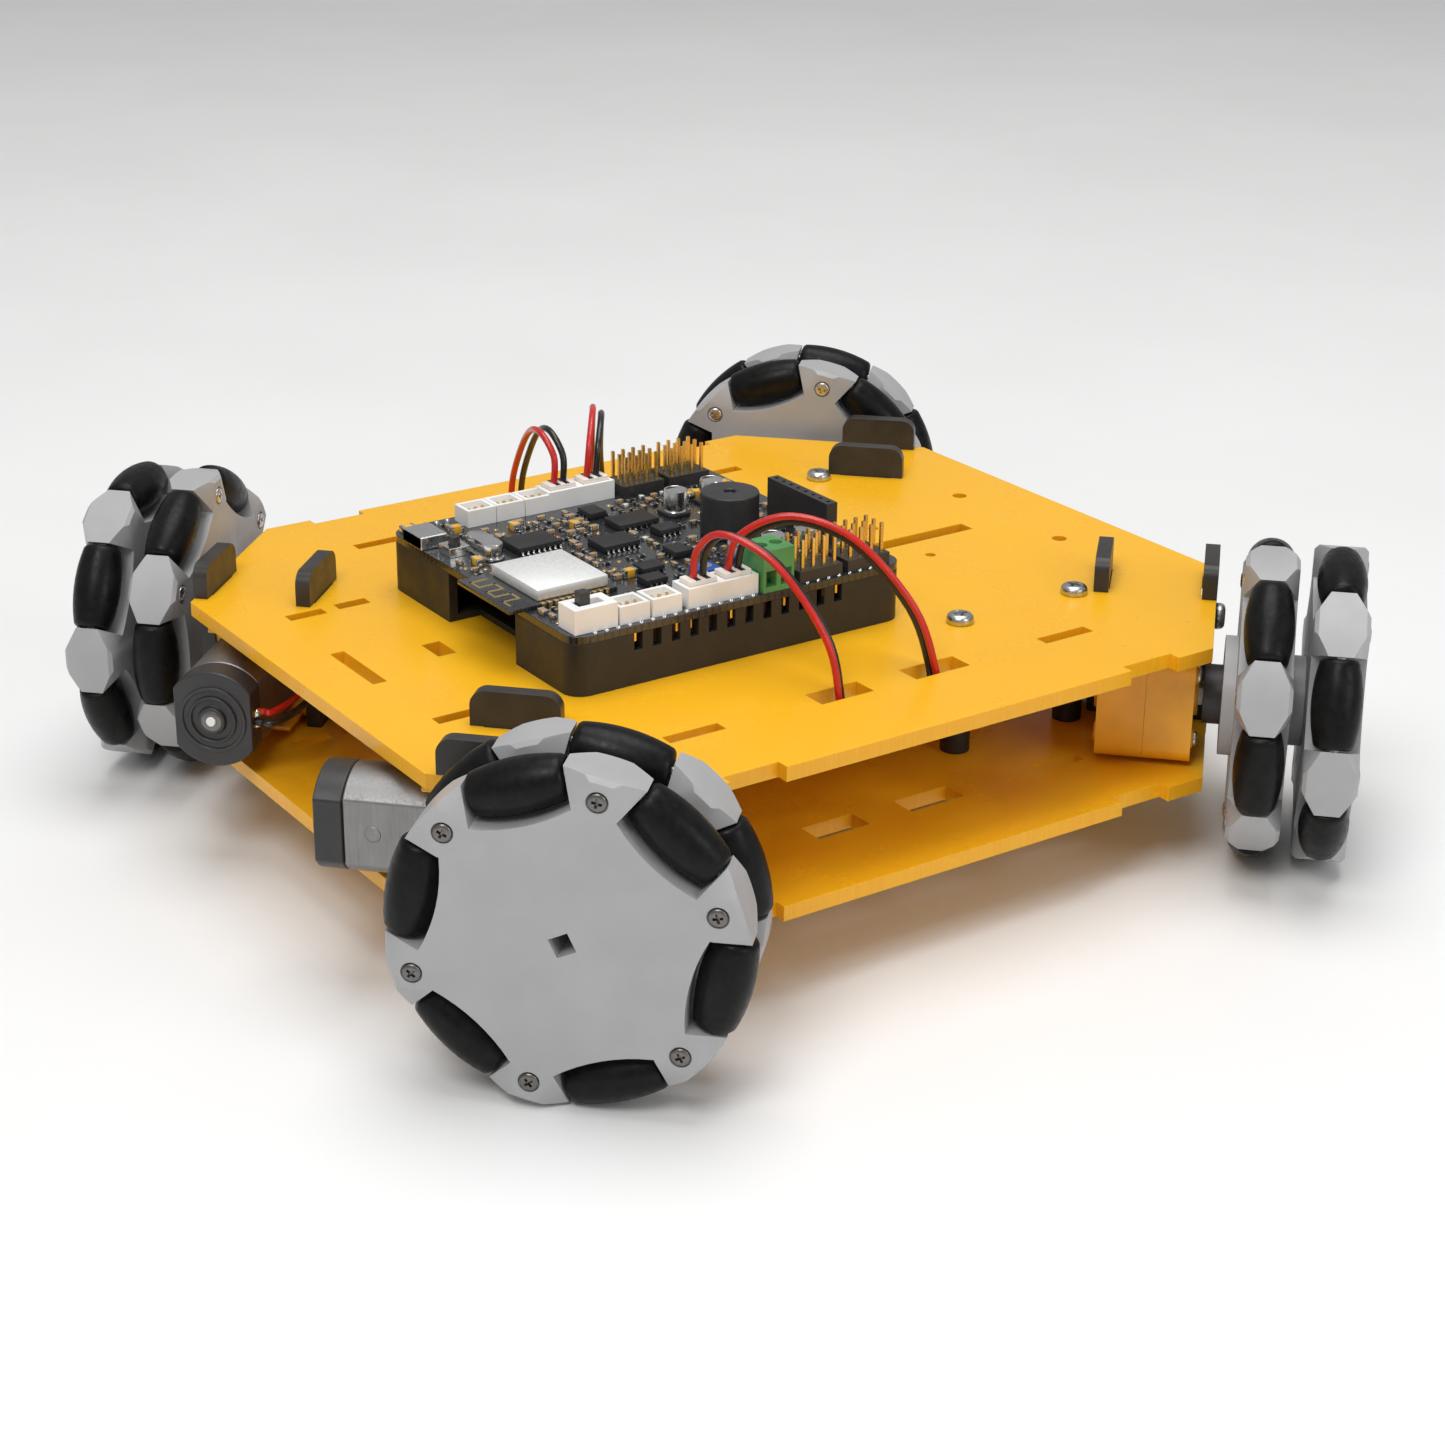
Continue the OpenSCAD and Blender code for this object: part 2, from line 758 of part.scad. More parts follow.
module reset_button() {
    color("white") translate([button_at[0], button_at[1], board_top + 0.9 + button_travel])
        cylinder(r = 1.15, h = 2.4);
}

module battery_pack() {
    color("salmon") translate([0, -15, deck + 1.5]) linear_extrude(battery_size[2])
        round_rect(battery_size[0], battery_size[1], 2);
}

// ------------------------------------------------------------------- leads

// A point between b and c on a smooth curve through a, b, c and d
function curve(a, b, c, d, t) =
    0.5 * (2 * b + (c - a) * t + (2 * a - 5 * b + 4 * c - d) * t * t
        + (3 * b - a - 3 * c + d) * t * t * t);

function smooth(p) = let (n = len(p) - 1) concat(
    [for (i = [0:n - 1], s = [0:STEPS_PER_SPAN - 1])
        curve(p[max(i - 1, 0)], p[i], p[i + 1], p[min(i + 2, n)], s / STEPS_PER_SPAN)],
    [p[n]]);

function unit(v) = v / norm(v);
function heading(p, i) = let (n = len(p) - 1)
    i == 0 ? [0, 0, 1] : unit(p[min(i + 1, n)] - p[i - 1]);

// Side and top directions of each ring: the side stays as near to the last
// ring's as it can, so that the tube doesn't twist
function sides(p, i = 0, last = [0, 1, 0], out = []) =
    i == len(p) ? out :
    let (h = heading(p, i), s = unit(last - h * (last * h)))
    sides(p, i + 1, s, concat(out, [s]));

// A pair of leads side by side: each runs at shift along the side direction
module lead(route, shift) {
    p = smooth(route);
    s = sides(p);
    n = len(p);
    points = [for (i = [0:n - 1]) let (h = heading(p, i), up = cross(h, s[i]))
        for (k = [0:LEAD_SIDES - 1]) let (a = 360 * k / LEAD_SIDES)
            p[i] + s[i] * (shift + lead_d / 2 * cos(a)) + up * (lead_d / 2 * sin(a))];
    walls = [for (i = [0:n - 2], k = [0:LEAD_SIDES - 1])
        let (a = i * LEAD_SIDES, j = (k + 1) % LEAD_SIDES)
            [a + k, a + LEAD_SIDES + k, a + LEAD_SIDES + j, a + j]];
    first = [for (k = [0:LEAD_SIDES - 1]) k];
    final = [for (k = [LEAD_SIDES - 1:-1:0]) (n - 1) * LEAD_SIDES + k];
    polyhedron(points, concat([first], walls, [final]));
}

ROUTES = [front_left_route, rear_left_route];
// The right side's plugs lie further back and further out on the board
plug_shift = [right_row_x + left_row_x, RIGHT_PLUG_SHIFT, 0];
function right_route(route) = [for (i = [0:len(route) - 1])
    [-route[i][0], route[i][1], route[i][2]] + plug_shift * max(0, i < 2 ? 1 : 1 - (i - 1) / 3)];

module leads(shift) {
    for (r = ROUTES) translate([0, 0, deck]) {
        lead(r, shift);
        lead(right_route(r), shift);
    }
}

module red_leads() { color("red") leads(-lead_gap / 2); }
module black_leads() { color("black") leads(lead_gap / 2); }

// -------------------------------------------------------------- the nodes

top_plate();
bottom_plate();
standoffs();
chassis_screws();
motor_cans();
motor_end_caps();
inner_brackets();
outer_brackets();
bracket_bolts();
board_tray();
circuit_board();
radio_module();
buzzer();
capacitors();
screw_terminal();
board_connectors();
pin_headers();
usb_port();
female_header();
power_switch();
switch_slider();
button_base();
reset_button();
battery_pack();
lead_plugs();
red_leads();
black_leads();

// One gearbox, shaft and set of pins for each corner
for (c = CORNERS) {
    gearbox(c);
    drive_shaft(c);
    wheel_pins(c);
}

// The front left wheel: its two discs and each of its rollers apart
hub_outer(CORNERS[0]);  // hub_outer_front_left
hub_inner(CORNERS[0]);  // hub_inner_front_left
for (n = [1:2 * ROLLERS_PER_ROW])
    one_roller(n);

// The other three wheels: the two discs together, and all rollers together
for (i = [1:3]) {
    c = CORNERS[i];
    union() {
        hub_outer(c);
        hub_inner(c);
    }
    rollers(c);
}
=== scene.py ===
"""Looks of the small omni wheel robot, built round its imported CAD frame.

Lengths are in millimetres in the named values and in metres in the meshes. The origin is on the
ground under the chassis, +Z is up, the robot's front is -Y and its left side is +X.
"""

import json
import math
import random

import bmesh
import bpy
from mathutils import Matrix, Vector


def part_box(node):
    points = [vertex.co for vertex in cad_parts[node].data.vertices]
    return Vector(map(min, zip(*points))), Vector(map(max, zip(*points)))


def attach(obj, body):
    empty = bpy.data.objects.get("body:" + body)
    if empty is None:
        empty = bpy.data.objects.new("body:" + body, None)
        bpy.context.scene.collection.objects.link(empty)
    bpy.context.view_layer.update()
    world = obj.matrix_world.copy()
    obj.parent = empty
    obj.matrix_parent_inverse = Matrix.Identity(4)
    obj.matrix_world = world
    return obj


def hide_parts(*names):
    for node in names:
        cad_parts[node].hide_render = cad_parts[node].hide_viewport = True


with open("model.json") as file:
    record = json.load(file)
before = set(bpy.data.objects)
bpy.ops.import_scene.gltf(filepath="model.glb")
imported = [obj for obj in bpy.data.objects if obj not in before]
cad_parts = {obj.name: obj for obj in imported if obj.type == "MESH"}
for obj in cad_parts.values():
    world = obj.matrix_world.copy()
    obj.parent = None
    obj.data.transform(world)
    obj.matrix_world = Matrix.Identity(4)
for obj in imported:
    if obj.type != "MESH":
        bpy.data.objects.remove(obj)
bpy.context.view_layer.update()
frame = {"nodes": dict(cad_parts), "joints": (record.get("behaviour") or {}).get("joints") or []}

MM = 0.001
MERGE = 1e-7


def mm(*xyz):
    """A point given in millimetres, in metres."""
    return Vector(xyz) * MM


# ------------------------------------------------------------------ camera

CAMERA_TURN = 57.0
CAMERA_RISE = 21.9
CAMERA_AT = mm(430.3, -293.3, 243.7)
LENS = 67.4
SHIFT = (0.046, -0.055)

camera = bpy.data.objects.new("camera", bpy.data.cameras.new("camera"))
bpy.context.scene.collection.objects.link(camera)
turn, rise = math.radians(CAMERA_TURN), math.radians(CAMERA_RISE)
back = Vector((math.sin(turn) * math.cos(rise), -math.cos(turn) * math.cos(rise), math.sin(rise)))
camera.location = CAMERA_AT
camera.rotation_euler = (-back).to_track_quat("-Z", "Y").to_euler()
camera.data.sensor_width = 36
camera.data.lens = LENS
camera.data.shift_x, camera.data.shift_y = SHIFT
camera.data.clip_start, camera.data.clip_end = 0.01, 50
bpy.context.scene.camera = camera

# --------------------------------------------------------------- materials


class Look:
    """A Principled material that takes its colour, roughness and bump from nodes."""

    def __init__(self, name, rough, metal=0.0, coat=0.0, specular=0.5, subsurface=0.0):
        self.mat = bpy.data.materials.new(name)
        self.mat.use_nodes = True
        self.tree = self.mat.node_tree
        self.shader = self.tree.nodes["Principled BSDF"]
        self.set("Roughness", rough)
        self.set("Metallic", metal)
        self.set("Coat Weight", coat)
        self.set("Coat Roughness", 0.08)
        self.set("Specular IOR Level", specular)
        if subsurface:
            self.set("Subsurface Weight", subsurface)
            self.set("Subsurface Scale", 0.002)
        self.coords = self.node("ShaderNodeTexCoord")
        self.height = None

    def node(self, kind, **values):
        made = self.tree.nodes.new(kind)
        for key, value in values.items():
            setattr(made, key, value)
        return made

    def set(self, socket, value):
        self.shader.inputs[socket].default_value = value

    def link(self, source, target):
        self.tree.links.new(source, target)

    def place(self, stretch=(1, 1, 1)):
        """Object coordinates, stretched."""
        mapping = self.node("ShaderNodeMapping")
        mapping.inputs["Scale"].default_value = stretch
        self.link(self.coords.outputs["Object"], mapping.inputs["Vector"])
        return mapping.outputs["Vector"]

    def noise(self, size, detail=4, stretch=(1, 1, 1)):
        """Noise whose features are about size millimetres across."""
        made = self.node("ShaderNodeTexNoise")
        made.inputs["Scale"].default_value = 1 / (size * MM)
        made.inputs["Detail"].default_value = detail
        self.link(self.place(stretch), made.inputs["Vector"])
        return made.outputs["Fac"]

    def voronoi(self, size, feature="F1"):
        made = self.node("ShaderNodeTexVoronoi", feature=feature)
        made.inputs["Scale"].default_value = 1 / (size * MM)
        self.link(self.place(), made.inputs["Vector"])
        return made.outputs["Distance"]

    def spread(self, value, low, high, out_low=0.0, out_high=1.0):
        """value from low to high, mapped on to out_low to out_high and held there."""
        made = self.node("ShaderNodeMapRange", clamp=True)
        for socket, number in zip(made.inputs[1:5], (low, high, out_low, out_high)):
            socket.default_value = number
        self.link(value, made.inputs["Value"])
        return made.outputs["Result"]

    def math(self, operation, a, b=0.0):
        made = self.node("ShaderNodeMath", operation=operation)
        for socket, value in zip(made.inputs, (a, b)):
            if isinstance(value, (int, float)):
                socket.default_value = value
            else:
                self.link(value, socket)
        return made.outputs[0]

    def mix(self, share, a, b):
        """Colour a where share is 0 and b where it is 1."""
        made = self.node("ShaderNodeMix", data_type="RGBA")
        self.link(share, made.inputs["Factor"])
        # a Mix node has its A and B again for each kind of data, and the colour ones are 6 and 7
        for index, value in ((6, a), (7, b)):
            if isinstance(value, tuple):
                made.inputs[index].default_value = (*value, 1)
            else:
                self.link(value, made.inputs[index])
        return made.outputs[2]

    def color(self, source):
        self.link(source, self.shader.inputs["Base Color"])
        return self

    def rough(self, source):
        self.link(source, self.shader.inputs["Roughness"])
        return self

    def bump(self, source, depth):
        """Adds bump of that depth in millimetres, on top of any that is there."""
        made = self.node("ShaderNodeBump")
        made.inputs["Distance"].default_value = depth * MM
        made.inputs["Strength"].default_value = 1.0
        self.link(source, made.inputs["Height"])
        if self.height:
            self.link(self.height, made.inputs["Normal"])
        self.height = made.outputs["Normal"]
        self.link(self.height, self.shader.inputs["Normal"])
        return self


def shade(color, factor):
    return tuple(min(1.0, c * factor) for c in color)


def moulded(name, color, rough=0.42, vary=0.08, grain=0.35, depth=0.006, **more):
    """Moulded plastic: soft mottling, a fine spark-eroded skin and worn, shinier patches."""
    look = Look(name, rough, **more)
    patch = look.noise(9)
    darker, lighter = shade(color, 1 - vary), shade(color, 1 + vary)
    look.color(look.mix(look.spread(patch, 0.35, 0.65), darker, lighter))
    look.rough(look.spread(look.noise(4, 6), 0.3, 0.7, rough - 0.08, rough + 0.08))
    look.bump(look.noise(grain, 3), depth)
    return look.mat


def acrylic():
    """Cast acrylic sheet: glossy faces with smears and dust, and streaked laser-cut edges, whose
    sides are painted a darker orange as shade.
    """
    # the second colour is painted shade: the side faces are coloured a darker orange than the top and
    # bottom faces
    color, side_shade_color = (0.915, 0.47, 0.012), (0.87, 0.40, 0.008)
    look = Look("yellow_acrylic", 0.3, specular=0.4, subsurface=0.3)
    look.set("Subsurface Radius", (1.0, 0.55, 0.08))
    normal = look.node("ShaderNodeSeparateXYZ")
    look.link(look.coords.outputs["Normal"], normal.inputs[0])
    flat = look.spread(look.math("ABSOLUTE", normal.outputs["Z"]), 0.4, 0.8)
    broad = look.spread(look.noise(60, 2), 0.3, 0.7)
    face = look.mix(broad, shade(color, 0.97), shade(color, 1.03))
    streak = look.noise(0.5, 2, stretch=(1, 1, 0.02))
    # the sides: painted shade, with the real streaks of a laser-cut edge
    edge = look.mix(look.spread(streak, 0.35, 0.65), side_shade_color, shade(color, 0.97))
    look.color(look.mix(flat, edge, face))
    dust = look.spread(look.voronoi(2.4), 0.0, 0.09, 0.10, 0.0)
    look.rough(look.math("ADD", look.spread(look.noise(14, 5), 0.35, 0.7, 0.26, 0.36), dust))
    look.bump(look.noise(35, 2), 0.05)
    look.bump(look.math("MULTIPLY", streak, look.math("SUBTRACT", 1.0, flat)), 0.03)
    return look.mat


def black_acrylic():
    """Black sheet with a satin face and smudges."""
    look = Look("black_acrylic", 0.35, specular=0.35)
    smudge = look.spread(look.noise(6), 0.3, 0.7)
    look.color(look.mix(smudge, (0.030, 0.027, 0.024), (0.046, 0.042, 0.038)))
    look.rough(look.spread(look.noise(3, 6), 0.35, 0.7, 0.3, 0.45))
    look.bump(look.noise(20, 2), 0.02)
    return look.mat


def rubber():
    """Smooth black rubber, a little dusty and greyer in patches."""
    look = Look("roller_rubber", 0.34, specular=0.17)
    worn = look.spread(look.noise(2.5, 6), 0.42, 0.75)
    look.color(look.mix(worn, (0.0045, 0.0045, 0.0045), (0.010, 0.0097, 0.0094)))
    look.rough(look.spread(look.noise(1.2, 6), 0.3, 0.75, 0.26, 0.5))
    look.bump(look.noise(0.25, 3), 0.008)
    return look.mat


def metal(name, color, rough=0.28, stretch=(1, 1, 1), size=0.4, depth=0.004, vary=0.12):
    """Plated or brushed metal: tinted mottling, streaks in its roughness and fine lines."""
    look = Look(name, rough, metal=1.0)
    look.color(look.mix(look.spread(look.noise(5), 0.3, 0.7), shade(color, 1 - vary), color))
    lines = look.noise(size, 5, stretch=stretch)
    look.rough(look.spread(lines, 0.3, 0.7, max(0.05, rough - 0.1), rough + 0.12))
    look.bump(lines, depth)
    return look.mat


def solder_mask():
    """Black board: copper tracks under the mask as faint lines, and a dimpled glossy coat."""
    look = Look("solder_mask", 0.25, coat=0.6)
    cells = look.node("ShaderNodeTexBrick")
    cells.inputs["Scale"].default_value = 1 / (3.2 * MM)
    cells.inputs["Mortar Size"].default_value = 0.06
    cells.inputs["Color1"].default_value = (0, 0, 0, 1)
    cells.inputs["Color2"].default_value = (0.25, 0.25, 0.25, 1)
    look.link(look.place(), cells.inputs["Vector"])
    track = look.spread(cells.outputs["Fac"], 0.1, 0.9)
    look.color(look.mix(track, (0.010, 0.011, 0.013), (0.028, 0.030, 0.034)))
    look.rough(look.spread(look.noise(1.5, 5), 0.3, 0.7, 0.18, 0.34))
    look.bump(track, 0.03)
    look.bump(look.noise(0.8, 3), 0.01)
    return look.mat


def insulation(name, color):
    """Soft PVC of a lead: even colour, slightly waxy."""
    look = Look(name, 0.32, coat=0.3, subsurface=0.05)
    look.color(look.mix(look.spread(look.noise(3), 0.3, 0.7), shade(color, 0.85), color))
    look.rough(look.spread(look.noise(1, 4), 0.3, 0.7, 0.26, 0.42))
    look.bump(look.noise(0.5, 3), 0.01)
    return look.mat


YELLOW = acrylic()
BLACK_SHEET = black_acrylic()
RUBBER = rubber()
GEARBOX = moulded("gearbox_plastic", (0.86, 0.40, 0.012), 0.38, subsurface=0.05)
GREY = moulded("hub_plastic", (0.40, 0.40, 0.405), 0.4, vary=0.035)
BLACK = moulded("black_plastic", (0.032, 0.030, 0.030), 0.42)
SOFT_BLACK = moulded("soft_black_plastic", (0.018, 0.0165, 0.015), 0.5)
WHITE = moulded("white_nylon", (0.89, 0.88, 0.86), 0.4, vary=0.04, subsurface=0.1)
IVORY = moulded("plug_nylon", (0.88, 0.80, 0.72), 0.42, vary=0.04, subsurface=0.1)
GREEN = moulded("terminal_green", (0.085, 0.30, 0.09), 0.4)
CHIP = moulded("chip_epoxy", (0.016, 0.016, 0.018), 0.55, grain=0.15)
TAN = moulded("ceramic_tan", (0.42, 0.27, 0.13), 0.45, grain=0.12)
AMBER = moulded("tantalum_yellow", (0.80, 0.42, 0.03), 0.4, grain=0.12)
BLUE = moulded("blue_plastic", (0.02, 0.08, 0.35), 0.35, grain=0.12)
LED_CLEAR = moulded("led_lens", (0.75, 0.80, 0.72), 0.18, vary=0.03, subsurface=0.2)
WRAP = moulded("battery_wrap", (0.62, 0.20, 0.15), 0.3, coat=0.3)
MASK = solder_mask()
STEEL = metal("zinc_steel", (0.60, 0.60, 0.60), 0.3)
DARK_STEEL = metal("dark_steel", (0.20, 0.19, 0.18), 0.36)
CAN = metal("motor_can_steel", (0.30, 0.295, 0.29), 0.48, stretch=(1, 1, 0.05))
BRIGHT = metal("bright_tin", (0.80, 0.80, 0.80), 0.18, size=0.2)
GOLD = metal("gold_pin", (0.86, 0.62, 0.24), 0.24, size=0.2)
SHIELD = metal("shield_tin", (0.93, 0.93, 0.92), 0.62, size=0.5, vary=0.02)
RED_PVC = insulation("red_pvc", (0.60, 0.012, 0.008))
BLACK_PVC = insulation("black_pvc", (0.012, 0.012, 0.012))

# ------------------------------------------------------------ mesh builder


def carried(path):
    """Each point of a path with two directions across it, carried along it without a twist."""
    side = Vector((0, 1, 0))
    for i, point in enumerate(path):
        ahead = (path[min(i + 1, len(path) - 1)] - path[max(i - 1, 0)]).normalized()
        ahead = Vector((0, 0, 1)) if i == 0 else ahead
        side = (side - ahead * side.dot(ahead)).normalized()
        yield point, side, ahead.cross(side)


def shifted(path, distance):
    """A path beside another, at that distance in metres."""
    return [point + side * distance for point, side, _up in carried(path)]


class Piece:
    """Gathers simple solids into one mesh in the shared frame, each with its own material."""

    def __init__(self):
        self.bm = bmesh.new()
        self.mats = []

    def take(self, part, mat, at=None):
        """Adds a small bmesh, placed by the matrix at."""
        if mat not in self.mats:
            self.mats.append(mat)
        for face in part.faces:
            face.material_index = self.mats.index(mat)
        if at is not None:
            bmesh.ops.transform(part, matrix=at, verts=part.verts)
        bmesh.ops.recalc_face_normals(part, faces=part.faces)
        mesh = bpy.data.meshes.new("part")
        part.to_mesh(mesh)
        part.free()
        self.bm.from_mesh(mesh)
        bpy.data.meshes.remove(mesh)
        return self

    def lathe(self, profile, mat, at=None, steps=32, open_top=False):
        """A solid of revolution about its own Z, from (radius, height) pairs in millimetres."""
        part = bmesh.new()
        rings = []
        for r, h in profile:
            if r < 1e-6:
                rings.append([part.verts.new((0, 0, h * MM))])
                continue
            angles = [2 * math.pi * k / steps for k in range(steps)]
            rings.append([part.verts.new((r * MM * math.cos(a), r * MM * math.sin(a), h * MM))
                          for a in angles])
        for low, high in zip(rings, rings[1:]):
            for k in range(steps):
                j = (k + 1) % steps
                corners = [low[k % len(low)], low[j % len(low)],
                           high[j % len(high)], high[k % len(high)]]
                corners = list(dict.fromkeys(corners))
                if len(corners) > 2:
                    part.faces.new(corners)
        for ring in (rings[:1] if open_top else (rings[0], rings[-1])):
            if len(ring) > 1 and profile[0] != profile[-1]:
                part.faces.new(ring)
        if profile[0] == profile[-1]:
            bmesh.ops.remove_doubles(part, verts=part.verts, dist=MERGE)
        return self.take(part, mat, at)

    def box(self, low, high, mat, bevel=0.0, at=None):
        """A block between two corners in millimetres, with rounded edges."""
        low, high = mm(*low), mm(*high)
        part = bmesh.new()
        bmesh.ops.create_cube(part, size=1)
        size, middle = high - low, (low + high) / 2
        for vert in part.verts:
            vert.co = Vector(c * s for c, s in zip(vert.co, size)) + middle
        if bevel:
            bmesh.ops.bevel(part, geom=part.edges[:], offset=bevel * MM, segments=2,
                            profile=0.5, affect="EDGES")
        return self.take(part, mat, at)

    def slab(self, outline, low, high, mat, at=None, bevel=0.0):
        """An outline in millimetres, extruded from height low to high."""
        part = bmesh.new()
        base = part.faces.new([part.verts.new((x * MM, y * MM, low * MM)) for x, y in outline])
        made = bmesh.ops.extrude_face_region(part, geom=[base])["geom"]
        lift = [v for v in made if isinstance(v, bmesh.types.BMVert)]
        bmesh.ops.translate(part, verts=lift, vec=(0, 0, (high - low) * MM))
        if bevel:
            rim = [e for e in part.edges if abs(e.verts[0].co.z - e.verts[1].co.z) < MERGE]
            bmesh.ops.bevel(part, geom=rim, offset=bevel * MM, segments=2, profile=0.5,
                            affect="EDGES")
        return self.take(part, mat, at)

    def tube(self, path, radius, mat, sides=12):
        """A tube along points in metres."""
        part = bmesh.new()
        rings = []
        for point, side, up in carried(path):
            turns = [2 * math.pi * k / sides for k in range(sides)]
            rings.append([part.verts.new(point + (side * math.cos(a) + up * math.sin(a)) * radius)
                          for a in turns])
        for low, high in zip(rings, rings[1:]):
            for k in range(sides):
                j = (k + 1) % sides
                part.faces.new([low[k], low[j], high[j], high[k]])
        part.faces.new(rings[0])
        part.faces.new(rings[-1])
        return self.take(part, mat)

    def done(self, name, body, replaces=(), slot=None, smooth=35):
        """Makes the object, smooth but for edges sharper than that angle, riding on body."""
        mesh = bpy.data.meshes.new(name)
        self.bm.to_mesh(mesh)
        self.bm.free()
        for mat in self.mats:
            mesh.materials.append(mat)
        mesh.polygons.foreach_set("use_smooth", [True] * len(mesh.polygons))
        mesh.set_sharp_from_angle(angle=math.radians(smooth))
        made = bpy.data.objects.new(name, mesh)
        bpy.context.scene.collection.objects.link(made)
        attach(made, body)
        if replaces:
            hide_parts(*replaces)
        return made


def rotation_to(axis, up=(0, 0, 1)):
    """The turn that takes Z to axis, with X as near as it can be to up x axis."""
    z = Vector(axis).normalized()
    x = Vector(up).cross(z)
    x = x.normalized() if x.length > 1e-6 else Vector((1, 0, 0))
    return Matrix((x, z.cross(x), z)).transposed().to_4x4()


def at(point, axis=(0, 0, 1), spin=0.0):
    """Places a part made along Z: at a point in metres, along axis, turned by spin degrees."""
    return Matrix.Translation(point) @ rotation_to(axis) @ Matrix.Rotation(math.radians(spin), 4, "Z")


# ------------------------------------------------------------ CAD surfaces


def dress(node, mat, bevel=0.0, segments=2):
    """Gives a CAD node its material and, with a bevel in millimetres, soft edges."""
    piece = frame["nodes"][node]
    piece.data.materials.clear()
    piece.data.materials.append(mat)
    if "custom_normal" in piece.data.attributes:
        piece.data.attributes.remove(piece.data.attributes["custom_normal"])
    piece.data.polygons.foreach_set("use_smooth", [True] * len(piece.data.polygons))
    weld = piece.modifiers.new("weld", "WELD")
    weld.merge_threshold = 1e-6
    if bevel:
        flat = piece.modifiers.new("flat", "DECIMATE")
        flat.decimate_type = "DISSOLVE"
        flat.angle_limit = math.radians(0.5)
        edge = piece.modifiers.new("bevel", "BEVEL")
        edge.width = bevel * MM
        edge.segments = segments
        edge.limit_method = "ANGLE"
        edge.angle_limit = math.radians(38)
        edge.use_clamp_overlap = True
        edge.harden_normals = True
    return piece


def paint(node, mat, test):
    """Gives a second material to the faces of a CAD node whose centre passes a test."""
    data = frame["nodes"][node].data
    data.materials.append(mat)
    for face in data.polygons:
        if test(face.center):
            face.material_index = len(data.materials) - 1


CORNERS = ("front_left", "rear_left", "rear_right", "front_right")
joints = {j["name"]: j for j in frame["joints"]}
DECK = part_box("top_plate")[1].z / MM
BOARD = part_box("circuit_board")[1].z / MM


def corner_frame(corner):
    """The matrix of a corner's own frame: X out along the axle, Z up, origin on the axle's middle."""
    joint = joints[corner + "_wheel_spin"]
    x, z = Vector(joint["axis"]), Vector((0, 0, 1))
    place = Matrix((x, z.cross(x), z)).transposed().to_4x4()
    return Matrix.Translation(joint["pos_m"]) @ place


def dress_frame():
    for node in ("top_plate", "bottom_plate"):
        dress(node, YELLOW, 0.12)
    for node in ("inner_brackets", "outer_brackets"):
        dress(node, BLACK_SHEET, 0.15)
    for corner in CORNERS:
        dress("gearbox_" + corner, GEARBOX, 0.35)
    dress("standoffs", SOFT_BLACK, 0.25)
    dress("motor_cans", CAN, 0.4)
    dress("motor_end_caps", BLACK, 0.5)
    dress("board_tray", SOFT_BLACK, 0.3)
    dress("circuit_board", MASK, 0.15)
    dress("buzzer", BLACK, 0.4)
    dress("screw_terminal", GREEN, 0.15)
    dress("board_connectors", WHITE, 0.12)
    dress("lead_plugs", IVORY, 0.2)
    dress("pin_headers", BLACK, 0.05)
    paint("pin_headers", GOLD, lambda c: c.z > (BOARD + 2.6) * MM)
    dress("usb_port", BRIGHT, 0.3)
    dress("female_header", BLACK, 0.1)
    dress("power_switch", WHITE, 0.15)
    dress("switch_slider", BLACK, 0.2)
    dress("button_base", BRIGHT, 0.15)
    dress("reset_button", BLACK, 0.15)
    dress("battery_pack", WRAP, 0.9)


# ------------------------------------------------------------------ screws

NUT_R = 3.17
NUT_H = 2.4
SCREW_STEPS = 24


def nut_outline():
    corners = [math.radians(60 * k) for k in range(6)]
    return [(NUT_R * math.cos(a), NUT_R * math.sin(a)) for a in corners]


def cross_outline(arm, width):
    """A plus sign as an outline."""
    a, w = arm, width
    return [(w, w), (w, a), (-w, a), (-w, w), (-a, w), (-a, -w),
            (-w, -w), (-w, -a), (w, -a), (w, -w), (a, -w), (a, w)]


def add_recess(piece, matrix, rim_r, top, deep, mat):
    """The flat top of a screw head with a cross sunk in it, and the cross's walls and floor."""
    part = bmesh.new()
    steps, taper = SCREW_STEPS, 0.7
    angles = [2 * math.pi * k / steps for k in range(steps)]
    rim = [part.verts.new((rim_r * MM * math.cos(a), rim_r * MM * math.sin(a), top * MM))
           for a in angles]
    cross = cross_outline(rim_r * 0.86, rim_r * 0.24)
    mouth = [part.verts.new((x * MM, y * MM, top * MM)) for x, y in cross]
    floor = [part.verts.new((x * taper * MM, y * taper * MM, (top - deep) * MM)) for x, y in cross]
    edges = [part.edges.new((loop[k], loop[(k + 1) % len(loop)])) for loop in (rim, mouth)
             for k in range(len(loop))]
    bmesh.ops.triangle_fill(part, use_beauty=True, use_dissolve=False, edges=edges)
    for k in range(len(cross)):
        j = (k + 1) % len(cross)
        part.faces.new([mouth[k], mouth[j], floor[j], floor[k]])
    part.faces.new(floor)
    piece.take(part, mat, matrix)


def screw(piece, matrix, head_r, head_h, shank_r, shank_l, mat):
    """A pan head screw with a cross recess: its seat at the matrix's origin, its head on +Z."""
    recess_r = head_r * 0.62
    profile = [(0, -shank_l), (shank_r * 0.8, -shank_l), (shank_r, -shank_l + 0.4), (shank_r, 0),
               (head_r * 0.94, 0), (head_r, head_h * 0.12), (head_r, head_h * 0.45),
               (head_r * 0.95, head_h * 0.72), (head_r * 0.82, head_h * 0.92), (recess_r, head_h)]
    piece.lathe(profile, mat, matrix, SCREW_STEPS, open_top=True)
    add_recess(piece, matrix, recess_r, head_h, head_h * 0.7, mat)


def m3_screw(piece, matrix, shank_l):
    screw(piece, matrix, 2.75, 2.0, 1.5, shank_l, STEEL)


# ------------------------------------------------------------------ wheels

